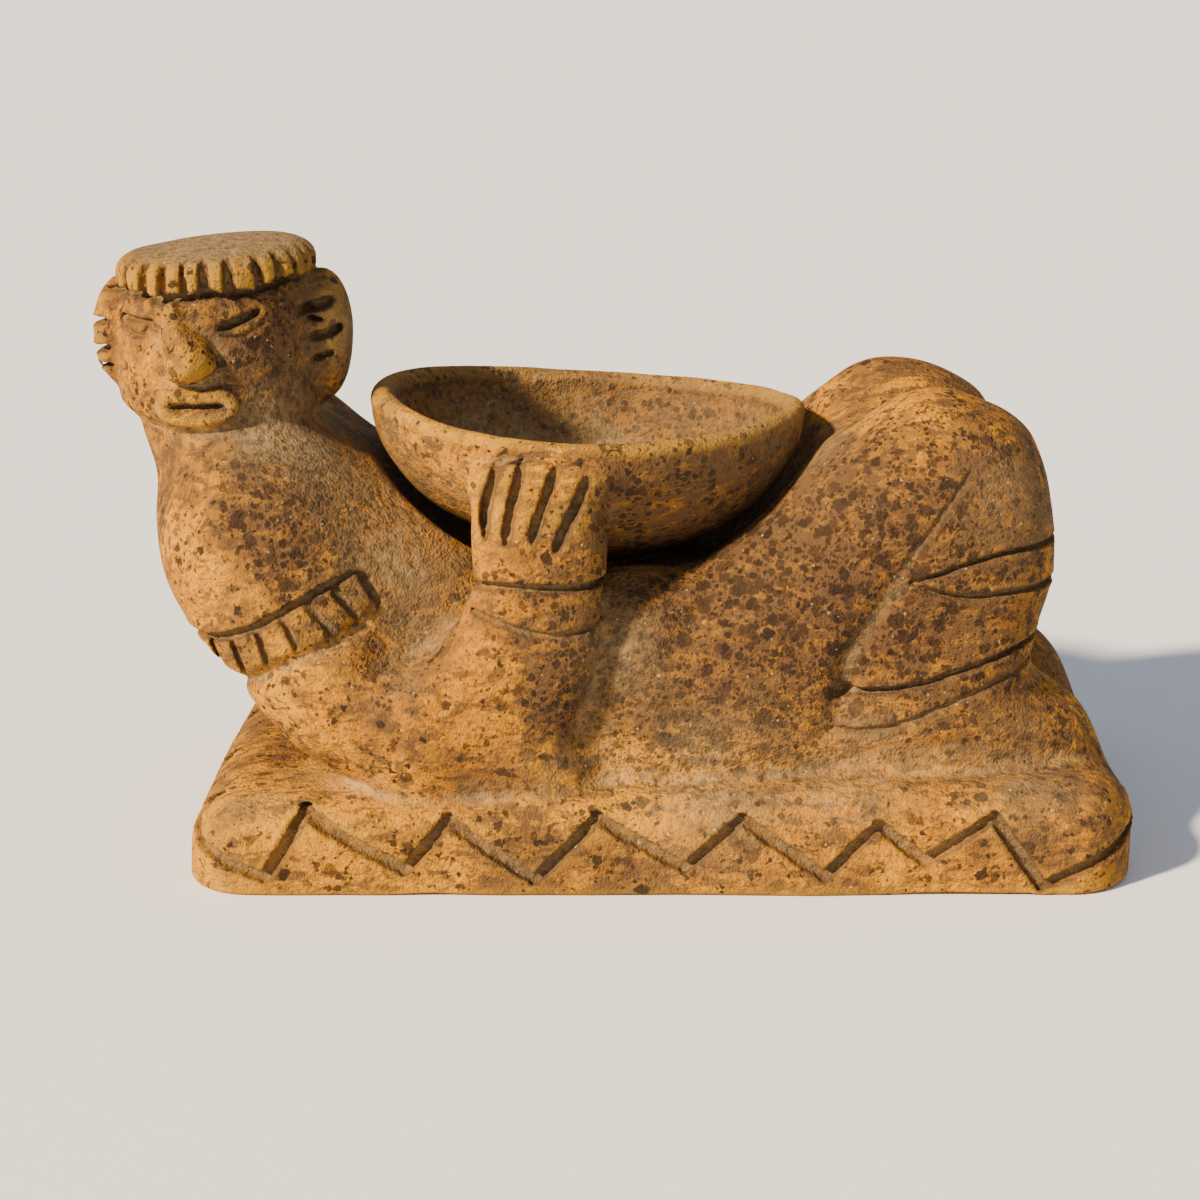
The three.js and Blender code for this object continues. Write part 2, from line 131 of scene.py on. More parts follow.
class Lump:
    """Clay as distances to its skin in mm, below nought inside, on a grid of points."""

    def __init__(self, low, high, grid):
        self.low = np.array(low, float)
        self.grid = grid
        count = np.ceil((np.array(high) - self.low) / grid).astype(int) + 1
        self.axes = [self.low[k] + grid * np.arange(count[k]) for k in range(3)]
        self.field = np.full(count, FAR, np.float32)
        self.marks = np.zeros(count, np.float32)  # 1 in the grooves that a tool left
        self.uncut = self.field  # the skin that marks are measured from

    def window(self, low, high):
        """Where the box between two corners lies in the field."""
        cut = []
        for k in range(3):
            first = max(0, math.floor((low[k] - self.low[k]) / self.grid))
            last = math.ceil((high[k] - self.low[k]) / self.grid) + 1
            cut.append(slice(first, max(first, min(self.field.shape[k], last))))
        return tuple(cut)

    def soften(self, passes):
        """Smears the field over its neighbours, as wet fingers smooth clay."""
        for _ in range(passes):
            for k in range(3):
                f = np.moveaxis(self.field, k, 0)
                f[1:-1] = (f[:-2] + 2 * f[1:-1] + f[2:]) / 4

    def finer(self):
        """The same clay on a grid twice as fine."""
        field = self.field
        for k in range(3):
            rough = np.moveaxis(field, k, 0)
            fine = np.empty((2 * len(rough) - 1, *rough.shape[1:]), np.float32)
            fine[::2] = rough
            fine[1::2] = (rough[:-1] + rough[1:]) / 2
            field = np.moveaxis(fine, 0, k)
        made = Lump(self.low, self.low, self.grid / 2)
        made.field = np.ascontiguousarray(field)
        made.marks = np.zeros(field.shape, np.float32)
        made.axes = [self.low[k] + made.grid * np.arange(field.shape[k]) for k in range(3)]
        made.soften(2)
        return made

    def places(self, cut):
        x, y, z = (axis[part].astype(np.float32) for axis, part in zip(self.axes, cut))
        return x[:, None, None], y[None, :, None], z[None, None, :]

    def measure(self, form, margin):
        """The distances to a form, which is a list of parts with their boxes."""
        low = np.min([part[0] for part in form], axis=0) - margin
        high = np.max([part[1] for part in form], axis=0) + margin
        cut = self.window(low, high)
        own = np.full([part.stop - part.start for part in cut], FAR, np.float32)
        for part_low, part_high, distance in form:
            inner = self.window(part_low - margin, part_high + margin)
            local = tuple(slice(a.start - b.start, a.stop - b.start) for a, b in zip(inner, cut))
            own[local] = np.minimum(own[local], distance(*self.places(inner)))
        return cut, own

    def press_on(self, form, blend, clear_of=None, margin=None):
        cut, own = self.measure(form, margin or 1.5 * blend + 3)
        if clear_of is not None:
            own = np.maximum(own, -clear_of(*self.places(cut)))
        self.field[cut] = merged(self.field[cut], own, blend)

    def scoop_out(self, form, blend):
        cut, own = self.measure(form, 1.5 * blend + 3)
        self.field[cut] = -merged(-self.field[cut], own, blend)

    def at(self, points, values=None, stride=1):
        """A field's values at points, a straight mix of the eight grid points round each."""
        values = self.field if values is None else values
        place = (np.asarray(points, float) - self.low) / (self.grid * stride)
        place = np.clip(place, 0, np.array(values.shape) - 1.001)
        whole = place.astype(int)
        part = place - whole
        total = 0
        for corner in np.ndindex(2, 2, 2):
            share = np.prod(np.where(corner, part, 1 - part), axis=1)
            total = total + share * values[tuple((whole + corner).T)]
        return total

    def touch(self, points, way):
        """Where lines from the points first meet the clay, going the given way for 60 mm at most."""
        points = np.asarray(points, float)
        way = np.broadcast_to(np.asarray(way, float), points.shape)
        way = way / np.linalg.norm(way, axis=1)[:, None]
        gone = np.zeros(len(points))
        open_still = np.ones(len(points), bool)
        step = 0.4 * self.grid
        for _ in range(int(60 / step)):
            open_still &= self.at(points + way * gone[:, None]) > 0
            gone[open_still] += step
        return points + way * gone[:, None]


# Forms.


def smooth_line(stations):
    """A smooth line through stations, as a function of the share of the stations passed."""
    rows = np.array(stations, float)
    rows = np.vstack([2 * rows[0] - rows[1], rows, 2 * rows[-1] - rows[-2]])
    knots = np.sqrt(np.maximum(np.linalg.norm(np.diff(rows[:, :3], axis=0), axis=1), 1e-3))

    def along(shares):
        place = np.clip(np.asarray(shares, float), 0, 1) * (len(rows) - 3)
        gap = np.minimum(place.astype(int), len(rows) - 4)
        t = (place - gap)[:, None]
        p0, p1, p2, p3 = (rows[gap + i] for i in range(4))
        k0, k1, k2 = (knots[gap + i][:, None] for i in range(3))
        m1 = k1 * ((p1 - p0) / k0 - (p2 - p0) / (k0 + k1) + (p2 - p1) / k1)
        m2 = k1 * ((p2 - p1) / k1 - (p3 - p1) / (k1 + k2) + (p3 - p2) / k2)
        return p1 + t * m1 + t * t * (3 * (p2 - p1) - 2 * m1 - m2) + t**3 * (2 * (p1 - p2) + m1 + m2)

    return along


def rod(a, b, across_hint, fullness, roundness):
    """One stretch of a limb, between two rows of x, y, z, half thickness and half breadth."""
    start, end = a[:3], b[:3]
    length = float(np.linalg.norm(end - start))
    along = (end - start) / length
    across = np.array(across_hint, float) - np.dot(across_hint, along) * along
    across /= np.linalg.norm(across)
    up = np.cross(along, across)
    most = max(a[3], a[4], b[3], b[4])

    def distance(x, y, z):
        px, py, pz = x - start[0], y - start[1], z - start[2]
        t = px * along[0] + py * along[1] + pz * along[2]
        share = np.clip(t / length, 0, 1)
        thick = a[3] + (b[3] - a[3]) * share
        broad = a[4] + (b[4] - a[4]) * share
        u = np.abs(px * across[0] + py * across[1] + pz * across[2]) / broad
        v = np.abs(px * up[0] + py * up[1] + pz * up[2]) / thick
        w = np.abs(t - share * length) / (roundness * thick)
        if fullness == 2:
            size = np.sqrt(u * u + v * v + w * w) + 1e-5
            slope = np.sqrt((u / broad) ** 2 + (v / thick) ** 2 + (w / thick) ** 2) + 1e-5
        else:
            size = (u**fullness + v**fullness + w**fullness) ** (1 / fullness) + 1e-5
            slope = np.hypot(u ** (fullness - 1) / broad, v ** (fullness - 1) / thick)
            slope = slope * size ** (2 - fullness) + 1e-5
        return (size - 1) * size / slope

    return np.minimum(start, end) - most, np.maximum(start, end) + most, distance


def limb(stations, across=(0, 1, 0), fullness=2, roundness=1.0):
    """A limb as rods, eight between each two stations. Fullness 2 is round in section, more is nearer square."""
    line = smooth_line(stations)(np.linspace(0, 1, (len(stations) - 1) * 8 + 1))
    return [rod(a, b, across, fullness, roundness) for a, b in zip(line[:-1], line[1:])]


def turned(x, y, z, middle, turn, roll):
    """Places measured from a middle, in a frame turned about Z and then rolled about its Y."""
    px, py, pz = x - middle[0], y - middle[1], z - middle[2]
    c, s = math.cos(turn), math.sin(turn)
    px, py = c * px + s * py, c * py - s * px
    c, s = math.cos(roll), math.sin(roll)
    return c * px - s * pz, py, s * px + c * pz


def ball(middle, halves, turn=0.0, roll=0.0):
    """A ball pressed to three half sizes."""
    reach = np.full(3, max(halves))

    def distance(x, y, z):
        px, py, pz = turned(x, y, z, middle, turn, roll)
        u, v, w = px / halves[0], py / halves[1], pz / halves[2]
        size = np.sqrt(u * u + v * v + w * w) + 1e-5
        slope = np.sqrt((u / halves[0]) ** 2 + (v / halves[1]) ** 2 + (w / halves[2]) ** 2) + 1e-5
        return (size - 1) * size / slope

    return [(np.array(middle) - reach, np.array(middle) + reach, distance)]


def rounded(u, v):
    """The distance to a corner between two faces, from the distances to each."""
    return np.hypot(np.maximum(u, 0), np.maximum(v, 0)) + np.minimum(np.maximum(u, v), 0)


def slab():
    reach = np.array(SLAB_HALF)

    def distance(x, y, z):
        x = x - SLAB_SKEW * (y + reach[1]) * np.clip(-x / reach[0], 0, 1)
        qx, qy = np.abs(x) - (reach[0] - SLAB_CORNER), np.abs(y) - (reach[1] - SLAB_CORNER)
        out = rounded(qx, qy) - SLAB_CORNER
        over = z - slab_top(x)
        at_end = np.clip((qx - qy) / SLAB_CORNER + 0.5, 0, 1)
        inwards, down = (a + (b - a) * at_end for a, b in zip(SLAB_SHOULDER, SLAB_END_SHOULDER))
        # The top edge rolls over like a quarter of an ellipse, and the bottom edge is a small round.
        u, v = np.maximum(out / inwards + 1, 0), np.maximum(over / down + 1, 0)
        shoulder = (np.hypot(u, v) - 1) * down
        u, v = out + SLAB_FOOT_ROUND, SLAB_FOOT_ROUND - z
        foot = rounded(u, v) - SLAB_FOOT_ROUND
        return np.maximum(shoulder, foot)

    low = np.array([-reach[0], -reach[1], 0])
    high = np.array([reach[0], reach[1], SLAB_HEIGHT + SLAB_RISE])
    return [(low, high, distance)]


def in_bowl(x, y, z):
    """How far out from the bowl's axis, and how far up it, places are, with the wobble of a hand-made rim."""
    px, py, pz = x - BOWL_FOOT[0], y - BOWL_FOOT[1], z - BOWL_FOOT[2]
    up = pz + px * math.tan(BOWL_TILT[0]) + py * math.tan(BOWL_TILT[1])
    out = np.hypot(px, py)
    turn = np.arctan2(py, px)
    height = np.clip(up / BOWL_DEPTH, 0, 1.2) ** 2
    up = up - height * (RIM_WAVE[0] * np.cos(2 * turn) + RIM_WAVE[1] * np.sin(2 * turn))
    return out - height * 0.3 * np.sin(2 * turn + 1.1), up


def bowl_side(inset):
    """Points up the bowl's side, from its foot to its rim, that far in from the outer skin."""
    turn = np.linspace(0, math.pi / 2, 22)
    radius = BOWL_RADIUS - inset
    return np.stack([radius * np.sin(turn) ** BOWL_SWELL, inset + (BOWL_DEPTH - inset) * (1 - np.cos(turn))], 1)


def bowl():
    lip = np.linspace(-0.5, math.pi + 0.5, 13)
    middle = BOWL_RADIUS - BOWL_WALL / 2
    crest = np.stack([middle + BOWL_LIP * np.cos(lip), BOWL_DEPTH + 0.85 * BOWL_LIP * np.sin(lip)], 1)
    crest[:, 1] -= 0.35 * np.maximum(middle - crest[:, 0], 0)  # the rim slants into the bowl
    outline = np.vstack([bowl_side(0)[:-1], crest, bowl_side(BOWL_WALL)[-2::-1]])

    def distance(x, y, z):
        out, up = in_bowl(x, y, z)
        out, up = np.broadcast_arrays(out, up)
        nearest = np.full(out.shape, FAR * FAR, np.float32)
        inside = np.zeros(out.shape, bool)
        for (ax, ay), (bx, by) in zip(outline, np.roll(outline, -1, axis=0)):
            dx, dy = bx - ax, by - ay
            px, py = out - ax, up - ay
            if ax > 1e-6 or bx > 1e-6:
                t = np.clip((px * dx + py * dy) / (dx * dx + dy * dy), 0, 1)
                nearest = np.minimum(nearest, (px - t * dx) ** 2 + (py - t * dy) ** 2)
            if dy != 0:
                inside ^= ((up >= min(ay, by)) & (up < max(ay, by))) & (px - py * (dx / dy) < 0)
        return np.where(inside, -np.sqrt(nearest), np.sqrt(nearest))

    reach = BOWL_RADIUS + 2
    low = np.array(BOWL_FOOT) - (reach, reach, 2)
    high = np.array(BOWL_FOOT) + (reach, reach, BOWL_DEPTH + BOWL_WALL)
    return [(low, high, distance)]


def bowl_filled(grown, low=0.0, swell=BOWL_SWELL):
    """Below nought inside the bowl's outer side grown by so much, from that height above its foot upwards."""

    def distance(x, y, z):
        out, up = in_bowl(x, y, z)
        turn = np.arccos(np.clip(1 - (up + grown) / (BOWL_DEPTH + grown), -1, 1))
        reach = (BOWL_RADIUS + grown) * np.maximum(np.sin(turn), 1e-3) ** swell
        return np.maximum(0.8 * (out - reach), low - up)

    return distance


def bowl_seat():
    """The room that the bowl sinks into, which is its own shape grown a little."""
    reach = BOWL_RADIUS + 2
    low = np.array(BOWL_FOOT) - (reach, reach, 1)
    high = np.array(BOWL_FOOT) + (reach, reach, BOWL_DEPTH + 6)
    return [(low, high, bowl_filled(BOWL_ROOM, SEAT_LOW, SEAT_SWELL))]


# The figure, as stations along each limb: x, how far from the middle, height above the slab, half thickness and
# half breadth. Single balls of clay are given as their middle and half sizes.

TORSO = [
    (33, 0, 6, 20, 37.5),
    (6, 0, 8, 25, 38),
    (-14, 0, 9, 25, 37.5),
    (-35, 0, 20, 21.5, 34.5),
    (-55, 0, 34, 19, 35.5),
    (-72, 0, 44.5, 18, 34),
    (-79, 0, 48.5, 13, 27),
]
NECK = [
    (-82, -7.5, 76, 15.5, 16.5),
    (-81.5, -6.5, 66, 16, 17),
    (-79.5, -5, 56, 15.5, 19),
    (-76, -3, 44, 17.5, 27),
]
UPPER_ARM = [
    (-76, 20, 49, 15, 15),
    (-75, 25, 42, 16, 14),
    (-67, 30, 29, 14.5, 13),
    (-57, 34, 17, 14, 11.5),
    (-44, 37, 11.5, 14, 9.5),
]
FOREARM = [
    (-42, 38, 10.5, 13.5, 8.8),
    (-33, 38.8, 14, 14.3, 8.3),
    (-26, 39, 23, 13.4, 7.9),
    (-22, 39, 36, 11.7, 7.2),
    (-21.6, 39.2, 43.5, 11.2, 6.4),
]
HAND = [(-21.6, 39.2, 42, 9.6, 4.9), (-22.3, 38.6, 56.8, 12.3, 4.2)]
ARM_HOLLOW = ((-44, 44.5, 51), (9, 8.5, 13))  # between the upper arm and the forearm, its height from the floor
ELBOW_REST = ((-23.5, 36.5, 4), (11, 8.5, 9))  # the clay under the forearm, above the slab
BELLY = ((-6, 27, 25), (15, 11.5, 15))
LAP = [
    (14, 0, 17, 17, 16),
    (31, 0, 29, 17, 16),
    (42, 0, 40, 16.5, 16),
    (48, 0, 44, 15.5, 15),
]
THIGH = [
    (-3, 20, 11, 17.5, 17),
    (12, 20, 15.5, 21.5, 19),
    (31, 19, 30, 19.5, 19.5),
    (44, 18.5, 43.5, 18.5, 19),
    (50, 18.5, 47.5, 18.5, 18),
]
SHIN = [
    (54, 18.5, 46, 18.6, 18),
    (56, 18.5, 37, 16.8, 18),
    (54.4, 18.5, 27, 16.4, 18),
    (51, 18.5, 16, 18, 18.5),
    (49, 18.5, 8, 19.6, 19),
]
FOOT = [
    (42, 19.5, 3, 9, 17.5),
    (62, 19.5, 4, 11, 17.5),
    (73, 18.5, 2, 9, 15.5),
    (79.5, 18.5, -1.5, 5, 13),
]
NEAR, FAR_SIDE = -1, 1
LEG_FULLNESS = {NEAR: 2.55, FAR_SIDE: 2.1}
REACH = 18.0  # how far round a limb its pull on the rest of the body is worked out
KNEE_SET_BACK = 3.2


def knee(stations):
    """The far knee is set back from the near one, all of it from 65 mm upwards and none of it below 45 mm."""
    rows = []
    for x, y, z, *halves in stations:
        share = min(max((z - 45) / 20, 0), 1) if y > 0 else 0
        rows.append((x - KNEE_SET_BACK * share, y, z, *halves))
    return rows


def figure(clay):
    """The body, from broad masses to thinner ones. The chest, neck and upper arms run into each other."""
    clay.press_on(limb(on_slab(TORSO), fullness=2.7), 0, margin=REACH)
    for side in (NEAR, FAR_SIDE):
        clay.press_on(limb(knee(on_slab(THIGH, side)), fullness=LEG_FULLNESS[side]), 8, margin=REACH)
        clay.press_on(limb(on_slab(UPPER_ARM, side)), 9, margin=REACH)
        (x, y, z), halves = BELLY
        clay.press_on(ball((x, y * side, slab_top(x) + z), halves), 8, margin=REACH)
    clay.press_on(limb(on_slab(LAP)), 8, margin=REACH)
    clay.press_on(limb(on_slab(NECK)), 7, margin=REACH)
    for side in (NEAR, FAR_SIDE):
        clay.press_on(limb(knee(on_slab(SHIN, side)), fullness=LEG_FULLNESS[side]), 6, margin=REACH)
        clay.press_on(limb(on_slab(FOOT, side)), 5, margin=REACH)


def forearms(clay):
    for side in (NEAR, FAR_SIDE):
        (x, y, z), halves = ARM_HOLLOW
        clay.scoop_out(ball((x, y * side, z), halves, roll=0.3), 4)
        clear_of = bowl_filled(-BOWL_WALL / 2, BOWL_WALL / 2)
        clay.press_on(limb(on_slab(FOREARM, side), fullness=2.4), 3, clear_of=clear_of)
        clay.press_on(limb(on_slab(HAND, side), fullness=2.3, roundness=0.33), 6, clear_of=clear_of)
        (x, y, z), halves = ELBOW_REST
        clay.press_on(ball((x, y * side, slab_top(x) + z), halves), 5)


# The head, in a frame whose X is to the viewer's right, Y away from the viewer and Z up.


def on_head(points):
    c, s = math.cos(HEAD_TURN), math.sin(HEAD_TURN)
    rows = []
    for x, y, z, *rest in points:
        rows.append((HEAD[0] + c * x + s * y, HEAD[1] + c * y - s * x, HEAD[2] + z, *rest))
    return rows


def head_ball(middle, halves, roll=0.0, turn=0.0):
    return ball(on_head([middle])[0], halves, turn - HEAD_TURN, roll)


def cap_low_edge(turn):
    """The cap's low edge is lowest over the brow, and torn here and there."""
    torn = 0.35 * np.sin(7 * turn + 1) + 0.3 * np.sin(19 * turn) + 0.2 * np.sin(41 * turn)
    return 1.3 * (1 - np.cos(turn)) + torn


CAP_MIDDLE = (HEAD[0], HEAD[1], HEAD[2] + CAP_LOW)


def cap():
    """A flat cap that rolls over at its top edge, with a flute between each two locks."""

    def distance(x, y, z):
        px, py, pz = turned(x, y, z, CAP_MIDDLE, -HEAD_TURN, CAP_TILT)
        out = np.hypot(px, py / 1.055)
        turn = np.arctan2(px, -py)  # from the brow, to the viewer's right
        cycle = turn * CAP_FLUTES / (2 * math.pi) + 0.14 * np.sin(5 * turn + 0.5) + 0.5
        from_flute = np.abs(cycle - np.round(cycle)) * (2 * math.pi * CAP_RADIUS / CAP_FLUTES)
        flute_half = 0.95 - 0.06 * pz + 0.25 * np.sin(9 * turn) + 0.15 * np.sin(31 * turn)
        locks = 1 - np.clip((from_flute - flute_half + 0.2) / 0.35, 0, 1)
        fading = 1 - 0.6 * np.clip((turn - 0.75) / 0.3, 0, 1) * np.clip((2.2 - turn) / 0.3, 0, 1)
        low_edge = cap_low_edge(turn)
        side = out - CAP_RADIUS + LOCK_DEPTH * locks * fading * np.clip((CAP_HEIGHT - 1.2 - pz) / 1.4, 0, 1)
        top = pz - CAP_HEIGHT + 0.004 * out * out
        u, v = np.maximum(side / 4 + 1, 0), np.maximum(top / 2.8 + 1, 0)
        rolled = (np.hypot(u, v) - 1) * 2.8
        under = low_edge - pz
        foot = np.hypot(np.maximum(side + 0.8, 0), np.maximum(under + 0.8, 0)) - 0.8
        return np.maximum(rolled, np.maximum(foot, np.minimum(under, 0)))

    reach = np.array([CAP_RADIUS + 2, CAP_RADIUS + 3, 2])
    return [(CAP_MIDDLE - reach, CAP_MIDDLE + reach + (0, 0, CAP_HEIGHT), distance)]


def along_cap(x, y, z):
    """Places on the cap's side: how far round it from the brow, and how far above its low edge."""
    px, py, pz = turned(x, y, z, CAP_MIDDLE, -HEAD_TURN, CAP_TILT)
    turn = np.arctan2(px, -py)
    return turn * CAP_RADIUS, pz - cap_low_edge(turn)


SKULL = [(0, 0, -8, 19, 18), (0, 0.2, 4, 18.7, 17.8), (0, 0.8, 13, 17.6, 17.3)]
NOSE = [
    (-5, -17.4, 11, 1.6, 2.0),
    (-3.6, -19.3, 6, 3.0, 3.2),
    (-1.4, -21.1, 1.6, 4.4, 4.8),
    (-0.8, -21.7, -0.6, 4.5, 5.0),
]
EAR_RIGHT = ((19.2, 1.5, 2.4), (5.4, 7, 12.2))
EAR_LEFT = ((-18.2, -1, 3.4), (4.8, 7, 10.0))
EYE_HOLLOW_RIGHT = ((5.5, -20.5, 5.6), (4.4, 1.9, 3.2))
EYE_HOLLOW_LEFT = ((-11.5, -17.5, 5.2), (4.2, 1.7, 3.0))
MUZZLE = ((-0.3, -17.6, -7.6), (8.6, 2.6, 5.6))


def head(clay):
    clay.press_on(limb(on_head(SKULL), across=(1, 0, 0), roundness=0.25), 7)
    clay.press_on(head_ball(*EAR_RIGHT, turn=0.25), 2.5)
    clay.press_on(head_ball(*EAR_LEFT, turn=-0.25), 2.5)
    clay.scoop_out(head_ball(*EYE_HOLLOW_RIGHT, roll=-0.45), 2.5)
    clay.scoop_out(head_ball(*EYE_HOLLOW_LEFT, roll=0.2), 2.5)
    clay.press_on(limb(on_head(NOSE), across=(1, 0, 0), fullness=1.6, roundness=0.5), 1.5)
    clay.press_on(head_ball(*MUZZLE), 2)
    clay.press_on(cap(), 0.6)


# Marks cut into the soft clay with a pointed tool. Paths on the side of the piece are given as x, z.


def from_the_side(x, y, z):
    """The sheet that strokes are drawn on: seen straight from the near side, or through from the far one."""
    return x, z


def round_the_slab(x, y, z):
    """The slab's edge rolled out flat: how far round it from the middle of the near side, and how high."""
    x = x - SLAB_SKEW * (y + SLAB_HALF[1]) * np.clip(-x / SLAB_HALF[0], 0, 1)
    straight, depth = SLAB_HALF[0] - SLAB_CORNER, SLAB_HALF[1] - SLAB_CORNER
    qx, qy = np.abs(x) - straight, np.abs(y) - depth
    turn = np.arctan2(np.maximum(qx, 1e-6), np.maximum(qy, 1e-6))
    corner, quarter = turn * SLAB_CORNER, math.pi / 2 * SLAB_CORNER
    along_side = np.minimum(np.abs(x), straight)
    near_corner = along_side + corner
    round_end = straight + quarter + y + depth
    past_end = straight + quarter + 2 * depth + quarter - corner + straight - along_side
    at_side = qy > np.minimum(qx, 0)
    way = np.where(at_side | (qx < 0), np.where(y < 0, near_corner, past_end), round_end)
    return np.where(x < 0, -way, way), z


def path_distance(p, q, path):
    """How far places on a sheet are from a path, and the share of the path passed at its nearest point."""
    steps = np.hypot(*np.diff(path, axis=0).T)
    passed = np.concatenate([[0], np.cumsum(steps)]) / steps.sum()
    nearest, share = np.float32(FAR), np.float32(0)
    for (ap, aq), (bp, bq), start, end in zip(path[:-1], path[1:], passed[:-1], passed[1:]):
        dp, dq = bp - ap, bq - aq
        t = np.clip(((p - ap) * dp + (q - aq) * dq) / (dp * dp + dq * dq), 0, 1)
        away = np.hypot(p - ap - t * dp, q - aq - t * dq)
        closer = away < nearest
        nearest, share = np.where(closer, away, nearest), np.where(closer, start + t * (end - start), share)
    return nearest, share


def stroke(clay, path, width, depth, reach, burr=0.15, square=2, ends=(0.4, 0.4), bend=True, onto=from_the_side,
           low=None, high=None):
    """A groove along a path on a sheet, of a width and depth that waver, with clay thrown up at its edges."""
    path = np.array(path, float)
    if bend and len(path) > 2:
        path = smooth_line(path)(np.linspace(0, 1, 6 * len(path)))
    margin = width + 1.5
    low = (path[:, 0].min() - margin, reach[0], path[:, 1].min() - margin) if low is None else low
    high = (path[:, 0].max() + margin, reach[1], path[:, 1].max() + margin) if high is None else high
    cut = clay.window(low, high)
    nearest, share = path_distance(*onto(*clay.places(cut)), path)
    length = np.hypot(*np.diff(path, axis=0).T).sum()
    phase = 3.1 * path[0, 0] + 1.7 * path[0, 1]
    waver = 0.5 * np.sin(share * length * 0.9 + phase) + 0.5 * np.sin(share * length * 2.3 + 2 * phase)
    narrowing = np.interp(share, [0, 0.12, 0.88, 1], [ends[0], 1, 1, ends[1]]).astype(np.float32)
    half = width / 2 * narrowing * (1 + 0.14 * waver)
    over = clay.uncut[cut]
    sunk = depth * narrowing
    round_it = ((nearest / half) ** square + np.abs(over / sunk) ** square) ** (1 / square)
    groove = (round_it - 1) * np.minimum(half, sunk)
    lip = burr * (0.55 + 0.45 * waver) * np.exp(-((nearest - half - 0.4) / 0.55) ** 2)
    raised = clay.field[cut] - lip * np.exp(-((over / 1.2) ** 2))
    clay.field[cut] = np.maximum(raised, -groove)
    clay.marks[cut] = np.maximum(clay.marks[cut], np.clip(1 - groove / 0.5, 0, 1))


def crease(clay, path, width, depth, reach):
    """A soft hollow along a path, as where a finger smoothed two masses together."""
    path = smooth_line(path)(np.linspace(0, 1, 6 * len(path)))
    margin = 1.6 * width
    low = (path[:, 0].min() - margin, reach[0], path[:, 1].min() - margin)
    high = (path[:, 0].max() + margin, reach[1], path[:, 1].max() + margin)
    cut = clay.window(low, high)
    nearest, share = path_distance(*from_the_side(*clay.places(cut)), path)
    deep = depth * np.interp(share, [0, 0.2, 0.8, 1], [0.2, 1, 1, 0.2]).astype(np.float32)
    clay.field[cut] += deep * np.exp(-((2 * nearest / width) ** 2)) * (np.abs(clay.uncut[cut]) < 4)


ZIGZAG_NEAR = [
    (-90.6, 11.5), (-71.6, 3.8), (-64.1, 15.6), (-46.1, 5.2), (-38.3, 14.4), (-22.6, 3.3), (-11.3, 15.0),
    (4.6, 5.6), (14.9, 15.0), (30.0, 3.9), (39.5, 13.8), (48.0, 6.8), (60.3, 15.4), (69.4, 1.9), (90.8, 11.9),
]
ZIGZAG_TOP, ZIGZAG_FOOT = 14.4, 3.4
ZIGZAG_TURNS = 28  # strokes up and down round the ends and the far side
ZIGZAG_EVEN = 96.0  # the even strokes start this far round from the middle of the near side
ZIGZAG_WIDTH, ZIGZAG_DEPTH = 2.3, 1.4
ZIGZAG_ROOM = ((-90, -52, 0), (90, 52, 20))  # the box that all of it lies in
SIDE_BAND, END_BAND = 22, 30  # how far in from that box's sides and ends a stroke is worked out
FAR_FACE = 165.0  # strokes further round the slab than this are on its far face


def zigzag(clay):
    """The zigzag round the slab, drawn freely on the near side and more evenly on the rest."""
    straight, depth = SLAB_HALF[0] - SLAB_CORNER, SLAB_HALF[1] - SLAB_CORNER
    round_all = 4 * straight + 4 * depth + 2 * math.pi * SLAB_CORNER
    places = np.linspace(ZIGZAG_EVEN, round_all - ZIGZAG_EVEN, ZIGZAG_TURNS + 1)
    heights = [ZIGZAG_TOP if k % 2 == 0 else ZIGZAG_FOOT for k in range(ZIGZAG_TURNS + 1)]
    rest = np.stack([places, heights], 1)
    # The sheet ends at the middle of the far face, and both its ends reach a stroke past it.
    right = [row for row in rest if row[0] < round_all / 2 + 14]
    left = [(p - round_all, h) for p, h in rest if p > round_all / 2 - 14]
    path = left + ZIGZAG_NEAR + right
    (west, front, foot), (east, back, top) = ZIGZAG_ROOM
    for a, b in zip(path[:-1], path[1:]):
        over = np.array(b, float) - a
        over *= 0.25 / np.hypot(*over)
        low, high = ZIGZAG_ROOM
        if abs(a[0]) < straight and abs(b[0]) < straight:
            low, high = (min(a[0], b[0]) - 3, front, foot), (max(a[0], b[0]) + 3, front + SIDE_BAND, top)
        elif abs(a[0]) > FAR_FACE and abs(b[0]) > FAR_FACE:
            low = (west, back - SIDE_BAND, foot)
        elif a[0] > 0:
            low = (east - END_BAND, front, foot)
        else:
            high = (west + END_BAND, back, top)
        stroke(clay, [a - over, b + over], ZIGZAG_WIDTH, ZIGZAG_DEPTH, None, burr=0.25, square=4,
               ends=(0.8, 0.8), bend=False, onto=round_the_slab, low=low, high=high)


ARMBAND_TOP = [(-92, 46), (-86, 45.5), (-81.1, 45.6), (-77.3, 46.8), (-72.3, 49), (-67.9, 51.4), (-63.9, 53.5),
               (-59.4, 55.7), (-54.5, 57.8)]
ARMBAND_FOOT = [(-90, 38), (-82, 37.6), (-76.8, 37.7), (-74.1, 38.9), (-70, 41.3), (-64, 44.5), (-60.4, 45.4),
                (-57.3, 47.4), (-53.7, 49.4), (-50.6, 51.1)]
FRINGE = [((-81.5, 45.2), (-79.5, 38.5)), ((-77.2, 46.0), (-74.9, 38.9)), ((-72.3, 48.7), (-70.2, 41.9)),
          ((-67.5, 50.9), (-64.7, 44.9)), ((-63.4, 53.2), (-58.0, 47.4)), ((-59.0, 55.6), (-54.1, 49.8)),
          ((-54.1, 57.4), (-50.6, 51.6))]
FRINGE_WIDTHS = (1.1, 1.3, 1.6, 1.7, 2.0, 1.8, 1.6)
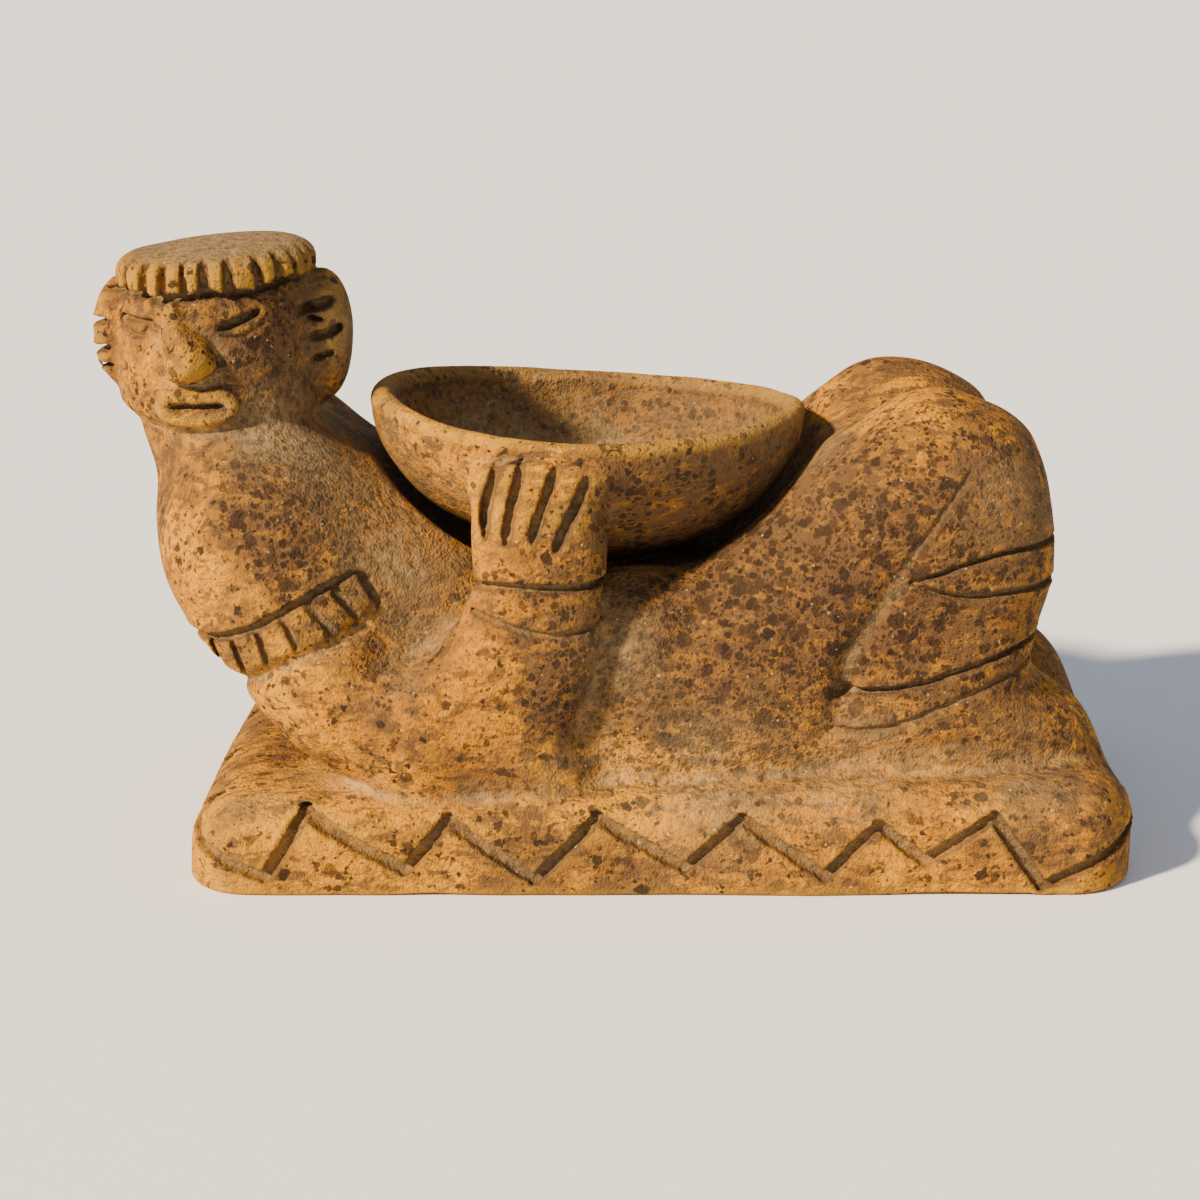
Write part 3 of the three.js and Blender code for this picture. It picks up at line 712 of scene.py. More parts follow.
WRIST_TOP = [(-33.6, 56.5), (-30.3, 57.4), (-24.4, 57.5), (-17.3, 57.2), (-11, 57.5), (-6, 57.6)]
WRIST_FOOT = [(-33.2, 52.4), (-28.6, 50.9), (-25, 49.6), (-18.6, 48.5), (-14.4, 49), (-11.8, 49.7),
              (-10.2, 50.1)]
FINGERS = [
    [(-27.7, 80.0), (-29.6, 75.9), (-31.0, 70.4), (-31.0, 66.2)],
    [(-24.5, 79.2), (-25.4, 75.1), (-27.0, 68.4), (-27.2, 65.4)],
    [(-18.7, 78.2), (-20.2, 73.4), (-22.2, 68.0), (-22.7, 65.6)],
    [(-13.1, 76.8), (-14.9, 71.9), (-17.4, 67.4), (-18.4, 64.3)],
]
KNEEBAND_TOP = [(45.4, 56), (50.2, 57.7), (55, 59.4), (59.7, 60.8), (64.8, 61.6), (69.7, 61.7), (79, 61.4)]
KNEEBAND_FOOT = [(45.4, 56), (49.1, 54.4), (54.1, 53.3), (57.7, 53.2), (62.7, 53.7), (68.3, 54), (79, 54.4)]
ANKLEBAND_TOP = [(32.8, 35.6), (40.2, 35.6), (47.5, 36.6), (54.7, 38.9), (60.7, 41), (66.3, 42.8), (78, 45)]
ANKLEBAND_FOOT = [(31.2, 28.4), (40.4, 28.5), (46.3, 30), (52.5, 32.5), (58.5, 35.1), (65.4, 37.8), (76, 40.6)]
CALF_TOP = [(56.3, 77.7), (54.5, 74.9), (50.3, 68.5), (46.9, 63.7), (44.7, 60)]
CALF_FOOT = [(46.5, 62.5), (44.7, 59.5), (41.9, 54.3), (37.9, 47.9), (34.4, 41.8), (33, 35.6), (31.2, 29.6),
             (29, 25.9)]
HIP = [(10.1, 53.9), (6.8, 48.9), (3.7, 44.6), (-0.1, 40.2), (-6.6, 34), (-11.7, 29.8)]
FOOT_EDGE = [(29, 26), (34.2, 24.2), (39.2, 23.9), (46.5, 24.1), (51.3, 25.5), (56.3, 25.8), (61.1, 25.8),
             (65, 24.5), (71.6, 23.3), (78, 21.4)]
INNER_ELBOW = [(-47.5, 39.9), (-45.2, 41.9), (-42.2, 43.9), (-38.5, 45.6)]


def body_marks(clay):
    """The bands, fingers and soft lines of the limbs, alike on both sides but for the armband's fringe."""
    for side in (NEAR, FAR_SIDE):
        def reach(inner):
            return (-53, -inner) if side == NEAR else (inner, 53)

        stroke(clay, ARMBAND_TOP, 1.8, 1.8, reach(12), burr=0.3, ends=(0.9, 0.3))
        crease(clay, [(x + 0.5, z - 0.8) for x, z in ARMBAND_FOOT], 3.6, 1.9, reach(12))
        stroke(clay, WRIST_TOP, 1.6, 1.6, reach(31), burr=0.25, ends=(1, 1))
        stroke(clay, WRIST_FOOT, 1.4, 1.0, reach(31), ends=(1, 0.3))
        for path in FINGERS:
            stroke(clay, path, 2.0, 2.2, reach(37.8), burr=0.2, ends=(0.4, 0.5))
        stroke(clay, KNEEBAND_TOP, 1.1, 1.9, reach(3), burr=0.3, ends=(0.3, 1))
        stroke(clay, KNEEBAND_FOOT, 1.3, 1.5, reach(3), burr=0.4, ends=(0.3, 1))
        stroke(clay, ANKLEBAND_TOP, 1.2, 1.8, reach(3), burr=0.3, ends=(0.5, 1))
        stroke(clay, ANKLEBAND_FOOT, 1.2, 0.9, reach(3), ends=(0.5, 1))
        stroke(clay, CALF_TOP, 1.3, 0.7, reach(20), burr=0.05, ends=(0.2, 0.9))
        crease(clay, CALF_FOOT, 4.6, 1.3, reach(20))
        crease(clay, HIP, 5.0, 0.6, reach(20))
        crease(clay, FOOT_EDGE, 4.0, 0.8, reach(20))
        crease(clay, INNER_ELBOW, 4.0, 0.6, reach(28))
    for path, width in zip(FRINGE, FRINGE_WIDTHS):
        stroke(clay, path, 0.8 * width, 1.5, (-53, -25), burr=0.2, square=3, ends=(0.9, 0.6))


EYE_RIGHT = [(-79.3, 99.6), (-78.3, 99.9), (-76.1, 100.9), (-72.3, 102.4)]
EYE_RIGHT_LEDGE = [(-78.2, 98.1), (-75.4, 98.2), (-73.0, 99.6), (-71.2, 101.0)]
EYE_LEFT = [(-99.6, 100), (-96.3, 100.4), (-92.2, 100.4)]
EYE_LEFT_FOOT = [(-99.4, 99.6), (-97, 98.2), (-94.2, 97.5), (-92.6, 99.6)]
EARS = [  # each with its width
    ([(-66, 101.1), (-62.8, 101.8), (-60, 102.8)], 2.185),
    ([(-64.6, 99.8), (-61.9, 99.1)], 0.92),
    ([(-63.9, 96.2), (-61.1, 96.7), (-58.6, 97.9)], 1.955),
    ([(-63.6, 92), (-60.3, 93.2)], 1.38),
    ([(-106, 98.4), (-101.8, 98.9)], 1.495),
    ([(-106, 93.2), (-101.2, 94)], 1.38),
    ([(-104, 90.2), (-101, 90.6)], 0.92),
]
LIPS = [
    (-89.68, 86.3), (-88.96, 87.2), (-87.16, 87.9), (-84.88, 87.6), (-83.08, 86.9), (-81.64, 87.3),
    (-79.96, 87.9), (-78.28, 87.1), (-77.56, 85.8), (-78.64, 84.6), (-80.44, 84.0), (-82.84, 83.7),
    (-85.24, 83.6), (-87.52, 83.8), (-89.32, 84.6), (-90.04, 85.5), (-89.68, 86.3),
]
LIP_THICK = 1.65
MOUTH = [(-88.4, 85.5), (-86.6, 85.6), (-84.2, 85.9), (-81.2, 86.1), (-78.6, 86.0)]


def lips(clay):
    """A rope of clay laid on the muzzle."""
    line = smooth_line(LIPS)(np.linspace(0, 1, 48))
    laid = clay.touch([(x, -45, z) for x, z in line], (0, 1, 0))
    rows = [(x, y - 0.2, z, LIP_THICK, LIP_THICK) for x, y, z in laid]
    clay.press_on([rod(np.array(a), np.array(b), (0, 1, 0.1), 2, 1.0) for a, b in zip(rows[:-1], rows[1:])], 0.7)


def face_marks(clay):
    front = (-40, -8)
    stroke(clay, MOUTH, 1.1, 1.5, front, burr=0.05)
    stroke(clay, EYE_RIGHT, 1.7, 2.8, front, burr=0.35, square=3, ends=(0.8, 0.2))
    stroke(clay, EYE_RIGHT_LEDGE, 0.7, 0.45, front, burr=0.3, ends=(0.6, 0.2))
    stroke(clay, EYE_LEFT, 0.9, 1.1, (-40, -5), burr=0.15, ends=(0.2, 1.4))
    stroke(clay, EYE_LEFT_FOOT, 0.9, 0.8, (-40, -5), burr=0.05, ends=(0.3, 0.8))
    for path, width in EARS:
        stroke(clay, path, width, 2.4, (-40, 2), burr=0.3, ends=(0.8, 0.3))
    under_cap = [(-1.5 * CAP_RADIUS, -0.5), (0, -0.4), (1.4 * CAP_RADIUS, -0.4)]
    low, high = np.array(HEAD) + (-22, -24, 8), np.array(HEAD) + (22, 10, 19)
    stroke(clay, under_cap, 1.6, 2.4, None, burr=0.1, ends=(0.3, 0.3), onto=along_cap, low=low, high=high)


UNEVENNESS = ((0.32, 15, 3), (0.13, 6, 8))  # height, size and seed of what the fingers left


def wander(clay, size, seed):
    """A slow unevenness between about -1 and 1, as if pressed by fingertips of that size."""
    own = np.random.default_rng(seed)
    knots = [int(math.ceil((axis[-1] - axis[0]) / size)) + 4 for axis in clay.axes]
    values = own.normal(0, 1, knots).astype(np.float32)
    for k, axis in enumerate(clay.axes):
        place = (axis - axis[0]) / size
        gap = place.astype(int)
        t = (place - gap)[:, None]
        weights = np.hstack([(1 - t) ** 3, 3 * t**3 - 6 * t**2 + 4, -3 * t**3 + 3 * t**2 + 3 * t + 1, t**3]) / 6
        spread = np.zeros((len(axis), knots[k]), np.float32)
        for i in range(4):
            spread[np.arange(len(axis)), gap + i] = weights[:, i]
        values = np.moveaxis(np.tensordot(spread, values, (1, k)), 0, k)
    return values * 1.9


body = Lump(*CLAY_ROOM, 2 * GRID)
figure(body)
body.soften(4)
clay = body.finer()
head(clay)
clay.press_on(slab(), 3.5)
clay.scoop_out(bowl_seat(), 1.5)
clay.press_on(bowl(), 1.4)
forearms(clay)
clay.field += sum(height * wander(clay, size, seed) for height, size, seed in UNEVENNESS)
lips(clay)
clay.uncut = clay.field.copy()
body_marks(clay)
face_marks(clay)
zigzag(clay)
clay.field = np.maximum(clay.field, -clay.places([slice(None)] * 3)[2])  # cut flat underneath


# The skin.


def skin(lump):
    """The clay's skin as corners and four-sided faces, with one corner in each grid cell that it crosses."""
    field = lump.field
    inside = field < 0
    cells = tuple(n - 1 for n in field.shape)

    def corner(a, offset):
        return a[tuple(slice(o, o + n) for o, n in zip(offset, cells))]

    count = np.zeros(cells, np.int8)
    for offset in np.ndindex(2, 2, 2):
        count += corner(inside, offset)
    crossed = (count > 0) & (count < 8)
    place = np.argwhere(crossed)
    number = np.full(cells, -1, np.int32)
    number[crossed] = np.arange(len(place))
    total, hits = np.zeros((len(place), 3)), np.zeros(len(place))
    for k in range(3):
        step = np.eye(3, dtype=int)[k]
        for other in np.ndindex(2, 2):
            offset = np.insert(other, k, 0)
            a = field[tuple((place + offset).T)]
            b = field[tuple((place + offset + step).T)]
            cut = (a < 0) != (b < 0)
            share = np.where(cut, a / np.where(cut, a - b, 1), 0)
            total += np.where(cut[:, None], offset + share[:, None] * step, 0)
            hits += cut
    corners = lump.low + (place + total / hits[:, None]) * lump.grid
    faces = []
    for k in range(3):
        step = np.eye(3, dtype=int)[k]
        ahead = tuple(slice(1, None) if i == k else slice(None) for i in range(3))
        behind = tuple(slice(None, -1) if i == k else slice(None) for i in range(3))
        edge = np.argwhere(inside[ahead] != inside[behind])
        u, v = np.eye(3, dtype=int)[(k + 1) % 3], np.eye(3, dtype=int)[(k + 2) % 3]
        edge = edge[(edge[:, (k + 1) % 3] > 0) & (edge[:, (k + 2) % 3] > 0)]
        edge = edge[(edge < np.array(cells)).all(axis=1)]
        quads = np.stack([number[tuple((edge - o).T)] for o in (0 * u, u, u + v, v)], 1)
        leaving = inside[tuple(edge.T)]
        faces.append(np.where(leaving[:, None], quads, quads[:, ::-1]))
    return corners, np.vstack(faces)


def outer_skin(corners, faces):
    """The skin round the whole piece alone, without crumbs beside it or bubbles in the clay."""
    head, tail = faces.ravel(), np.roll(faces, 1, axis=1).ravel()
    lowest = np.arange(len(corners))
    while True:
        before = lowest
        lowest = before.copy()
        further = before[before]
        for a, b in ((head, tail), (tail, head)):
            np.minimum.at(lowest, before[a], further[b])
            np.minimum.at(lowest, a, further[b])
        lowest = lowest[lowest]
        if np.array_equal(lowest, before):
            break
    of_face = lowest[faces[:, 0]]
    kept = faces[of_face == np.bincount(of_face).argmax()]
    used, renumbered = np.unique(kept, return_inverse=True)
    return corners[used], renumbered.reshape(kept.shape)


def piece(name, corners, faces):
    mesh = bpy.data.meshes.new(name)
    mesh.vertices.add(len(corners))
    mesh.vertices.foreach_set("co", (corners * MM).astype(np.float32).ravel())
    mesh.loops.add(faces.size)
    mesh.loops.foreach_set("vertex_index", faces.astype(np.int32).ravel())
    mesh.polygons.add(len(faces))
    mesh.polygons.foreach_set("loop_start", np.arange(0, faces.size, faces.shape[1], dtype=np.int32))
    mesh.update(calc_edges=True)
    mesh.validate()
    made = bpy.data.objects.new(name, mesh)
    bpy.context.scene.collection.objects.link(made)
    return made


def thinned(made, most):
    """The piece with as many triangles as allowed, most of them where it bends."""
    triangles = 2 * len(made.data.polygons)
    if triangles > most:
        thin = made.modifiers.new("thin", "DECIMATE")
        thin.ratio = most / triangles
        result = bpy.data.meshes.new_from_object(made.evaluated_get(bpy.context.evaluated_depsgraph_get()))
        made.modifiers.clear()
        made.data = result
    return made


def blurred(values, cells):
    """Values smeared over about that many cells each way, three times over so that the smear is round."""
    for _ in range(3):
        for k in range(3):
            line = np.moveaxis(values, k, 0)
            total = np.cumsum(np.concatenate([line[:1] * 0, line]), axis=0, dtype=np.float32)
            places = np.arange(len(line))
            ahead = np.minimum(places + cells + 1, len(line))
            behind = np.maximum(places - cells, 0)
            values = np.moveaxis((total[ahead] - total[behind]) / (2 * cells + 1), 0, k)
    return values


def near_places(points, rows):
    """How much points lie in round patches, given as middle x, y, z, half size and strength."""
    total = 0
    for x, y, z, size, strength in rows:
        away = np.sum((points - (x, y, z)) ** 2, axis=1) / size**2
        total = total + strength * np.exp(-away)
    return total


# Where the brown wash was left thicker or wiped off, where the dark speckles crowd and where dust settled:
# x, y, z, half size and strength of each patch. Some wash patches are painted shade, on the bowl's right side,
# low on the bowl and at the ear, which face away from the lamp. Those below nought are painted light: they take
# the wash off the sides that face the lamp. The dust patches inside the bowl also lighten its shaded inside.
WASH_ALL_OVER = 0.25
WASH_AND_PAINTED_LIGHT = [
    (-15, -44, 56, 7, 0.6), (-69, -28, 81, 9, 1.0), (-38, -42, 30, 7, 0.3), (-66, -50, 4, 7, 0.5),
    # Patches below nought are painted light: they take the wash off the sides that face the lamp.
    (34, -50, 4, 8, 0.5), (-96, -20, 95, 12, -0.5), (-86, -32, 60, 13, -0.4), (-66, -42, 27, 15, -0.4),
    (-34, -44, 38, 12, -0.5),
    (-34, -44, 60, 9, -0.4), (-42, -36, 77, 12, -0.5), (-80, -50, 10, 15, -0.5), (-55, -50, 10, 16, -0.4),
    (12, -50, 5, 20, -0.35), (46, -20, 90, 15, -0.4), (-5, -46, 18, 12, -0.3), (48, -50, 6, 15, -0.3),
    (28, -30, 70, 16, 0.6), (34, -38, 62, 12, 0.5), (27, -38, 45, 12, 0.45), (-60, -30, 84, 10, 0.7),
    (-70, -20, 92, 11, 1.1), (-93, -24, 70, 8, 0.6), (-17, -46, 37, 8, 1.1), (8, -30, 72, 14, 0.9),
    (-4, -38, 50, 10, 0.5), (-22, -48, 6, 8, 0.5), (70, -38, 30, 10, 0.5), (-84, 0, 113, 15, 0.5),
    (55, 0, 86, 14, 0.5), (62, -34, 68, 12, 0.6), (-50, 0, 62, 14, 0.5), (20, 30, 60, 18, 0.5),
    (-60, 34, 50, 16, 0.5), (-30, 44, 12, 16, 0.5), (50, 38, 40, 14, 0.4), (86, 10, 14, 14, 0.4),
    (-90, 10, 60, 14, 0.5), (-66, -38, 73, 14, 0.7), (-58, -40, 60, 12, 0.3), (0, -40, 38, 13, 0.35),
    (18, -42, 37, 13, 0.4), (22, -40, 66, 13, 0.4), (50, -42, 46, 14, 0.7), (62, -38, 76, 12, 0.4),
    # Painted shade: the two strongest patches on this row darken the bowl's right side, which faces away from
    # the lamp.
    (-3, -50, 4, 8, 0.8), (76, -46, 17, 13, 0.3), (3, -36, 73, 14, 1.3), (17, -32, 80, 11, 1.1),
    # Painted shade: the first two patches on this row grey the clay low on the bowl and at the ear, which lie in
    # shade.
    (-2, -30, 62, 12, 0.9), (-63, -6, 98, 9, 0.9), (-82, -10, 112, 18, 0.7), (-48, -42, 34, 9, 0.5),
    (-46, -36, 52, 9, 0.6), (-60, 34, 66, 24, 0.4), (0, 38, 46, 28, 0.5),
    (52, 36, 58, 24, 0.5), (-84, 14, 92, 17, 0.5), (0, 50, 10, 24, 0.4), (-100, 10, 40, 26, 0.4),
]
SPECKLED = [
    (18, -38, 48, 20, 1.0), (34, -38, 66, 14, 0.9), (0, -38, 34, 14, 1.0), (50, -34, 78, 16, 0.5),
    (50, -38, 45, 14, 0.8), (-70, -24, 93, 10, 1.0), (-60, -36, 62, 14, 0.8), (-18, -44, 38, 8, 0.5),
    (-48, -38, 42, 9, 0.5), (70, -44, 18, 14, 0.4), (10, -46, 18, 22, 0.25), (-66, -40, 74, 13, 1.0),
    (8, -40, 44, 18, 0.7), (-20, -44, 57, 9, 0.5), (-68, -28, 80, 8, 0.7), (0, -42, 78, 12, 0.5),
    (-80, -24, 108, 14, 0.3),
    (20, 38, 48, 24, 0.8), (-55, 36, 50, 20, 0.5), (60, 30, 60, 18, 0.4), (-12, 20, 76, 26, 0.6),
    (-40, -46, 12, 12, 0.25), (90, -20, 12, 14, 0.3),
]
DUST_AND_PAINTED_LIGHT = [
    # The first two patches, inside the bowl, are painted light as much as dust: they lighten its shaded inside.
    (-30, 24, 68, 16, 0.7), (-12, 24, 62, 14, 0.6), (66, -36, 72, 9, 0.3), (8, -45, 19.5, 12, 0.6),
    (30, -46, 21, 9, 0.4), (-50, -16, 68, 12, 0.5), (-60, -10, 97, 8, 0.5),
    (-46, -34, 60, 10, 0.5), (-36, -30, 66, 8, 0.5), (-72, -26, 81, 6, 0.6), (-60, -24, 76, 9, 0.5),
    (-46, -40, 36, 5, 0.6), (-9, -38, 44, 8, 0.5), (-20, -40, 22, 6, 0.6),
    (40, -42, 25, 8, 0.5), (66, -44, 22, 10, 0.4), (-74, -44, 20, 7, 0.5), (14, -30, 88, 12, 0.3),
    (26, -16, 78, 9, 0.5), (-64, -22, 85, 8, 0.5), (-40, 20, 60, 12, 0.4), (0, 40, 24, 16, 0.4),
    (60, 20, 24, 14, 0.4),
]


LAYERS = ("crevice", "hollow", "rubbed", "mark", "wash_and_painted_light", "speckled", "dust_and_painted_light", "upward", "in_bowl")
CLOSE, WIDE = 1.4, 2.6  # mm round a point in which the clay is counted


def keep(made, name, values):
    """Values at the corners of a piece, which its material reads by name."""
    layer = made.data.attributes.new(name, "FLOAT", "POINT")
    layer.data.foreach_set("value", np.clip(values, 0, 1).astype(np.float32))


def surface_layers(made, clay):
    """Works out what the material reads, the nine LAYERS, at each corner of the piece."""
    count = len(made.data.vertices)
    points, normals = np.empty(count * 3, np.float32), np.empty(count * 3, np.float32)
    made.data.vertices.foreach_get("co", points)
    made.data.vertices.foreach_get("normal", normals)
    points = points.reshape(-1, 3) / MM
    # On a flat face half of what lies round a point is clay. More is a corner to the inside, less is an edge.
    filled = np.clip(0.5 - clay.field / clay.grid, 0, 1)
    close = clay.at(points, blurred(filled, round(CLOSE / clay.grid)))
    wide = clay.at(points, blurred(filled[::2, ::2, ::2], round(WIDE / clay.grid)), 2)
    up = in_bowl(*points.T)[1]
    values = (
        (close - 0.52) * 4.5,
        (wide - 0.52) * 4.5,
        (0.42 - close) * 5,
        clay.at(points, clay.marks),
        WASH_ALL_OVER + near_places(points, WASH_AND_PAINTED_LIGHT),
        near_places(points, SPECKLED),
        near_places(points, DUST_AND_PAINTED_LIGHT),
        normals.reshape(-1, 3)[:, 2],
        np.clip(0.5 - bowl_filled(-BOWL_WALL / 2)(*points.T) / 1.5, 0, 1) * (up > 2),
    )
    for name, at_corners in zip(LAYERS, values):
        keep(made, name, at_corners)


corners, faces = outer_skin(*skin(clay))
figure_piece = thinned(piece("clay_figure", corners, faces), MOST_TRIANGLES)
figure_piece.data.polygons.foreach_set("use_smooth", np.ones(len(figure_piece.data.polygons), bool))
surface_layers(figure_piece, clay)


# Looks.


def linear(code):
    parts = [int(code[i:i + 2], 16) / 255 for i in (1, 3, 5)]
    return [c / 12.92 if c <= 0.04045 else ((c + 0.055) / 1.055) ** 2.4 for c in parts] + [1.0]


def new_material(name):
    made = bpy.data.materials.new(name)
    made.use_nodes = True
    return made, made.node_tree, made.node_tree.nodes["Principled BSDF"]


def add(tree, kind, sockets, out=0, **settings):
    """A node with its settings, and its sockets set or linked. Gives back one of its outputs."""
    made = tree.nodes.new("ShaderNode" + kind)
    for name, value in settings.items():
        setattr(made, name, value)
    for key, value in sockets.items():
        if isinstance(value, bpy.types.NodeSocket):
            tree.links.new(value, made.inputs[key])
        else:
            made.inputs[key].default_value = value
    return made.outputs[out]


def per_mm(size):
    """A pattern's scale in Blender's units, from the size of its features in mm."""
    return 1 / (size * MM)


WIPED = (0.45, 1, 1)  # the wash was wiped along the piece, which draws its streaks out that way
RAGGED = 1.6  # mm that the rim of a spot strays
SPOTS = (  # mm from spot to spot, the share of them that shows, how much more in a swarm, and their size
    (2.8, 0.06, 0.8, 0.56),
    (1.7, 0.14, 1.0, 0.55),
    (1.0, 0.22, 0.9, 0.48),
)
CAP_TOP = (109.5, 112.5)  # heights between which the dust on top of the cap sets in


def fired_clay():
    # Sandy earthenware, pressed by hand, washed with brown, wiped and fired without glaze. That gives the eye a
    # dull gritty skin, golden where the wash was wiped off, with dark spots of grit and pale dust in its marks.
    # Part of the colour is painted light and shade: the wash is thicker on sides turned from the lamp and gone
    # from sides turned to it, the groove floors are darkened, the shaded inside of the bowl is lightened with
    # dust, and pale grains are coloured as glints.
    made, tree, shader = new_material("fired sandy ochre clay")
    place = add(tree, "TexCoord", {}, "Object")
    crevice, hollow, rubbed, mark, wash_and_painted_light, speckled, dust_and_painted_light, upward, in_bowl_share = (
        add(tree, "Attribute", {}, "Fac", attribute_name=name) for name in LAYERS)
    wiped = add(tree, "VectorMath", {0: place, 1: WIPED}, operation="MULTIPLY")

    # Patches, sand and smears by their size in mm. Real sand is about 0.3 mm and its relief finer still, too
    # fine to show in the render, so both are drawn as coarse as they need to show.
    firing, sand, cloud, smear, crowd_cloud, patches, grains, lumps = (
        add(tree, "TexNoise", {"Vector": at, "Scale": per_mm(size), "Detail": detail, "Roughness": rough,
                               "Distortion": warp})
        for at, size, detail, rough, warp in (
            (place, 24, 2, 0.5, 0),
            (place, 0.9, 3, 0.7, 0),
            (place, 9, 4, 0.66, 0.3),
            (wiped, 2.4, 3, 0.72, 0.5),
            (place, 7, 2, 0.5, 0),
            (place, 1.6, 2, 0.7, 0),
            (place, 0.55, 2, 0.6, 0),
            (place, 2.4, 3, 0.6, 0),
        ))
    patchy = add(tree, "MapRange", {"Value": patches, "From Min": 0.32, "From Max": 0.68},
                 interpolation_type="SMOOTHSTEP")
    # The wash layer, with its painted shade and painted light, sets where the brown blotches and dark streaks
    # lie.
    blotch = add(tree, "Math", {0: wash_and_painted_light, 1: 0.3, 2: cloud}, operation="MULTIPLY_ADD")
    blotch = add(tree, "Math", {0: in_bowl_share, 1: 0.16, 2: blotch}, operation="MULTIPLY_ADD")
    streak = add(tree, "Math", {0: wash_and_painted_light, 1: 0.13, 2: smear}, operation="MULTIPLY_ADD")

    # Dark grit that bled in the kiln: it lies in swarms, in three sizes of spot with ragged rims.
    rims = add(tree, "TexNoise", {"Vector": place, "Scale": per_mm(1.1), "Detail": 2.0}, "Color")
    ragged = add(tree, "VectorMath", {0: rims, 1: (RAGGED * MM,) * 3, 2: place}, operation="MULTIPLY_ADD")
    swarm = add(tree, "Math", {0: crowd_cloud, 1: 1.9, 2: -1.02}, operation="MULTIPLY_ADD")
    swarm = add(tree, "Math", {0: speckled, 1: swarm}, operation="ADD")
    spots = 0.0
    for cell, least, crowd, size in SPOTS:
        away = add(tree, "TexVoronoi", {"Vector": ragged, "Scale": per_mm(cell)}, "Distance")
        chance = add(tree, "SeparateColor", {0: away.node.outputs["Color"]}, "Red")
        share = add(tree, "Math", {0: swarm, 1: crowd, 2: least}, operation="MULTIPLY_ADD")
        there = add(tree, "Math", {0: chance, 1: share}, operation="LESS_THAN")
        radius = add(tree, "Math", {0: chance.node.outputs["Green"], 1: 0.7 * size, 2: 0.35 * size},
                     operation="MULTIPLY_ADD")
        inwards = add(tree, "Math", {0: radius, 1: away}, operation="SUBTRACT")
        spot = add(tree, "MapRange", {"Value": inwards, "From Min": -0.06, "From Max": 0.08},
                   interpolation_type="SMOOTHSTEP")
        faint = add(tree, "Math", {0: chance.node.outputs["Blue"], 1: 0.35, 2: 0.65}, operation="MULTIPLY_ADD")
        for part in (there, faint):
            spot = add(tree, "Math", {0: spot, 1: part}, operation="MULTIPLY")
        spots = add(tree, "Math", {0: spots, 1: spot}, operation="MAXIMUM")

    # Pale dust stays where nothing rubs it off: in corners, on top of the cap and in the bowl. In the bowl it
    # also lightens the shaded inside, as painted light.
    height = add(tree, "SeparateXYZ", {0: place}, "Z")
    cap_top = add(tree, "MapRange", {"Value": height, "From Min": CAP_TOP[0] * MM, "From Max": CAP_TOP[1] * MM},
                  interpolation_type="SMOOTHSTEP")
    cap_top = add(tree, "Math", {0: cap_top, 1: upward}, operation="MULTIPLY")
    dust = 0.0
    for where, most in ((crevice, 0.9), (hollow, 0.65), (cap_top, 0.6), (in_bowl_share, 0.2), (dust_and_painted_light, 1.0)):
        share = add(tree, "Math", {0: where, 1: most}, operation="MULTIPLY")
        dust = add(tree, "Math", {0: dust, 1: share}, operation="MAXIMUM")
    for where, rise, least in ((patchy, 0.65, 0.3), (mark, -0.4, 1.0)):
        share = add(tree, "Math", {0: where, 1: rise, 2: least}, operation="MULTIPLY_ADD")
        dust = add(tree, "Math", {0: dust, 1: share}, operation="MULTIPLY")
    # A few grains of mica catch the light. They are drawn larger than they are, to show, are smoother than the
    # rest, and are coloured pale as a painted glint.
    mica = add(tree, "TexVoronoi", {"Vector": place, "Scale": per_mm(0.4)}, "Color")
    mica = add(tree, "SeparateColor", {0: mica}, "Blue")
    mica_and_painted_glint = add(tree, "Math", {0: mica, 1: 0.998}, operation="GREATER_THAN")

    # The coats from the bare clay outwards: where each lies, between which values it sets in, how much of it
    # shows at most, and its colour.
    base = linear(OCHRE)
    for where, low, high, most, setting_in, colour in (
        (firing, 0.38, 0.62, 1.0, "SMOOTHSTEP", ORANGE_OCHRE),
        (sand, 0.5, 0.66, 0.45, "SMOOTHSTEP", PALE_OCHRE),
        (blotch, 0.45, 0.68, 0.85, "SMOOTHSTEP", BROWN_WASH_AND_SHADE),
        (streak, 0.5, 0.62, 0.75, "SMOOTHSTEP", DARK_WASH_AND_SHADE),
        (sand, 0.48, 0.36, 0.5, "SMOOTHSTEP", DARK_WASH_AND_SHADE),
        (rubbed, 0.0, 1.0, 0.6, "LINEAR", PALE_OCHRE),
        (spots, 0.0, 1.0, 0.95, "LINEAR", GRIT),
        # Painted shade in the grooves: their floors are darkened.
        (mark, 0.0, 1.0, 0.7, "LINEAR", GROOVE_FLOOR_SHADE),
        (dust, 0.0, 1.0, 1.0, "LINEAR", DUST),
        (mica_and_painted_glint, 0.0, 1.0, 0.25, "LINEAR", PAINTED_GLINT),
    ):
        share = add(tree, "MapRange", {"Value": where, "From Min": low, "From Max": high, "To Max": most},
                    interpolation_type=setting_in)
        base = add(tree, "Mix", {"Factor": share, 6: base, 7: linear(colour)}, 2, data_type="RGBA")
    tree.links.new(base, shader.inputs["Base Color"])

    # The surface is dull all over, and dullest where dust may lie.
    dull = add(tree, "Math", {0: patchy, 1: 0.14, 2: 0.74}, operation="MULTIPLY_ADD")
    dull = add(tree, "Math", {0: mica_and_painted_glint, 1: -0.3, 2: dull}, operation="MULTIPLY_ADD")
    tree.links.new(dull, shader.inputs["Roughness"])
    shader.inputs["Specular IOR Level"].default_value = 0.12
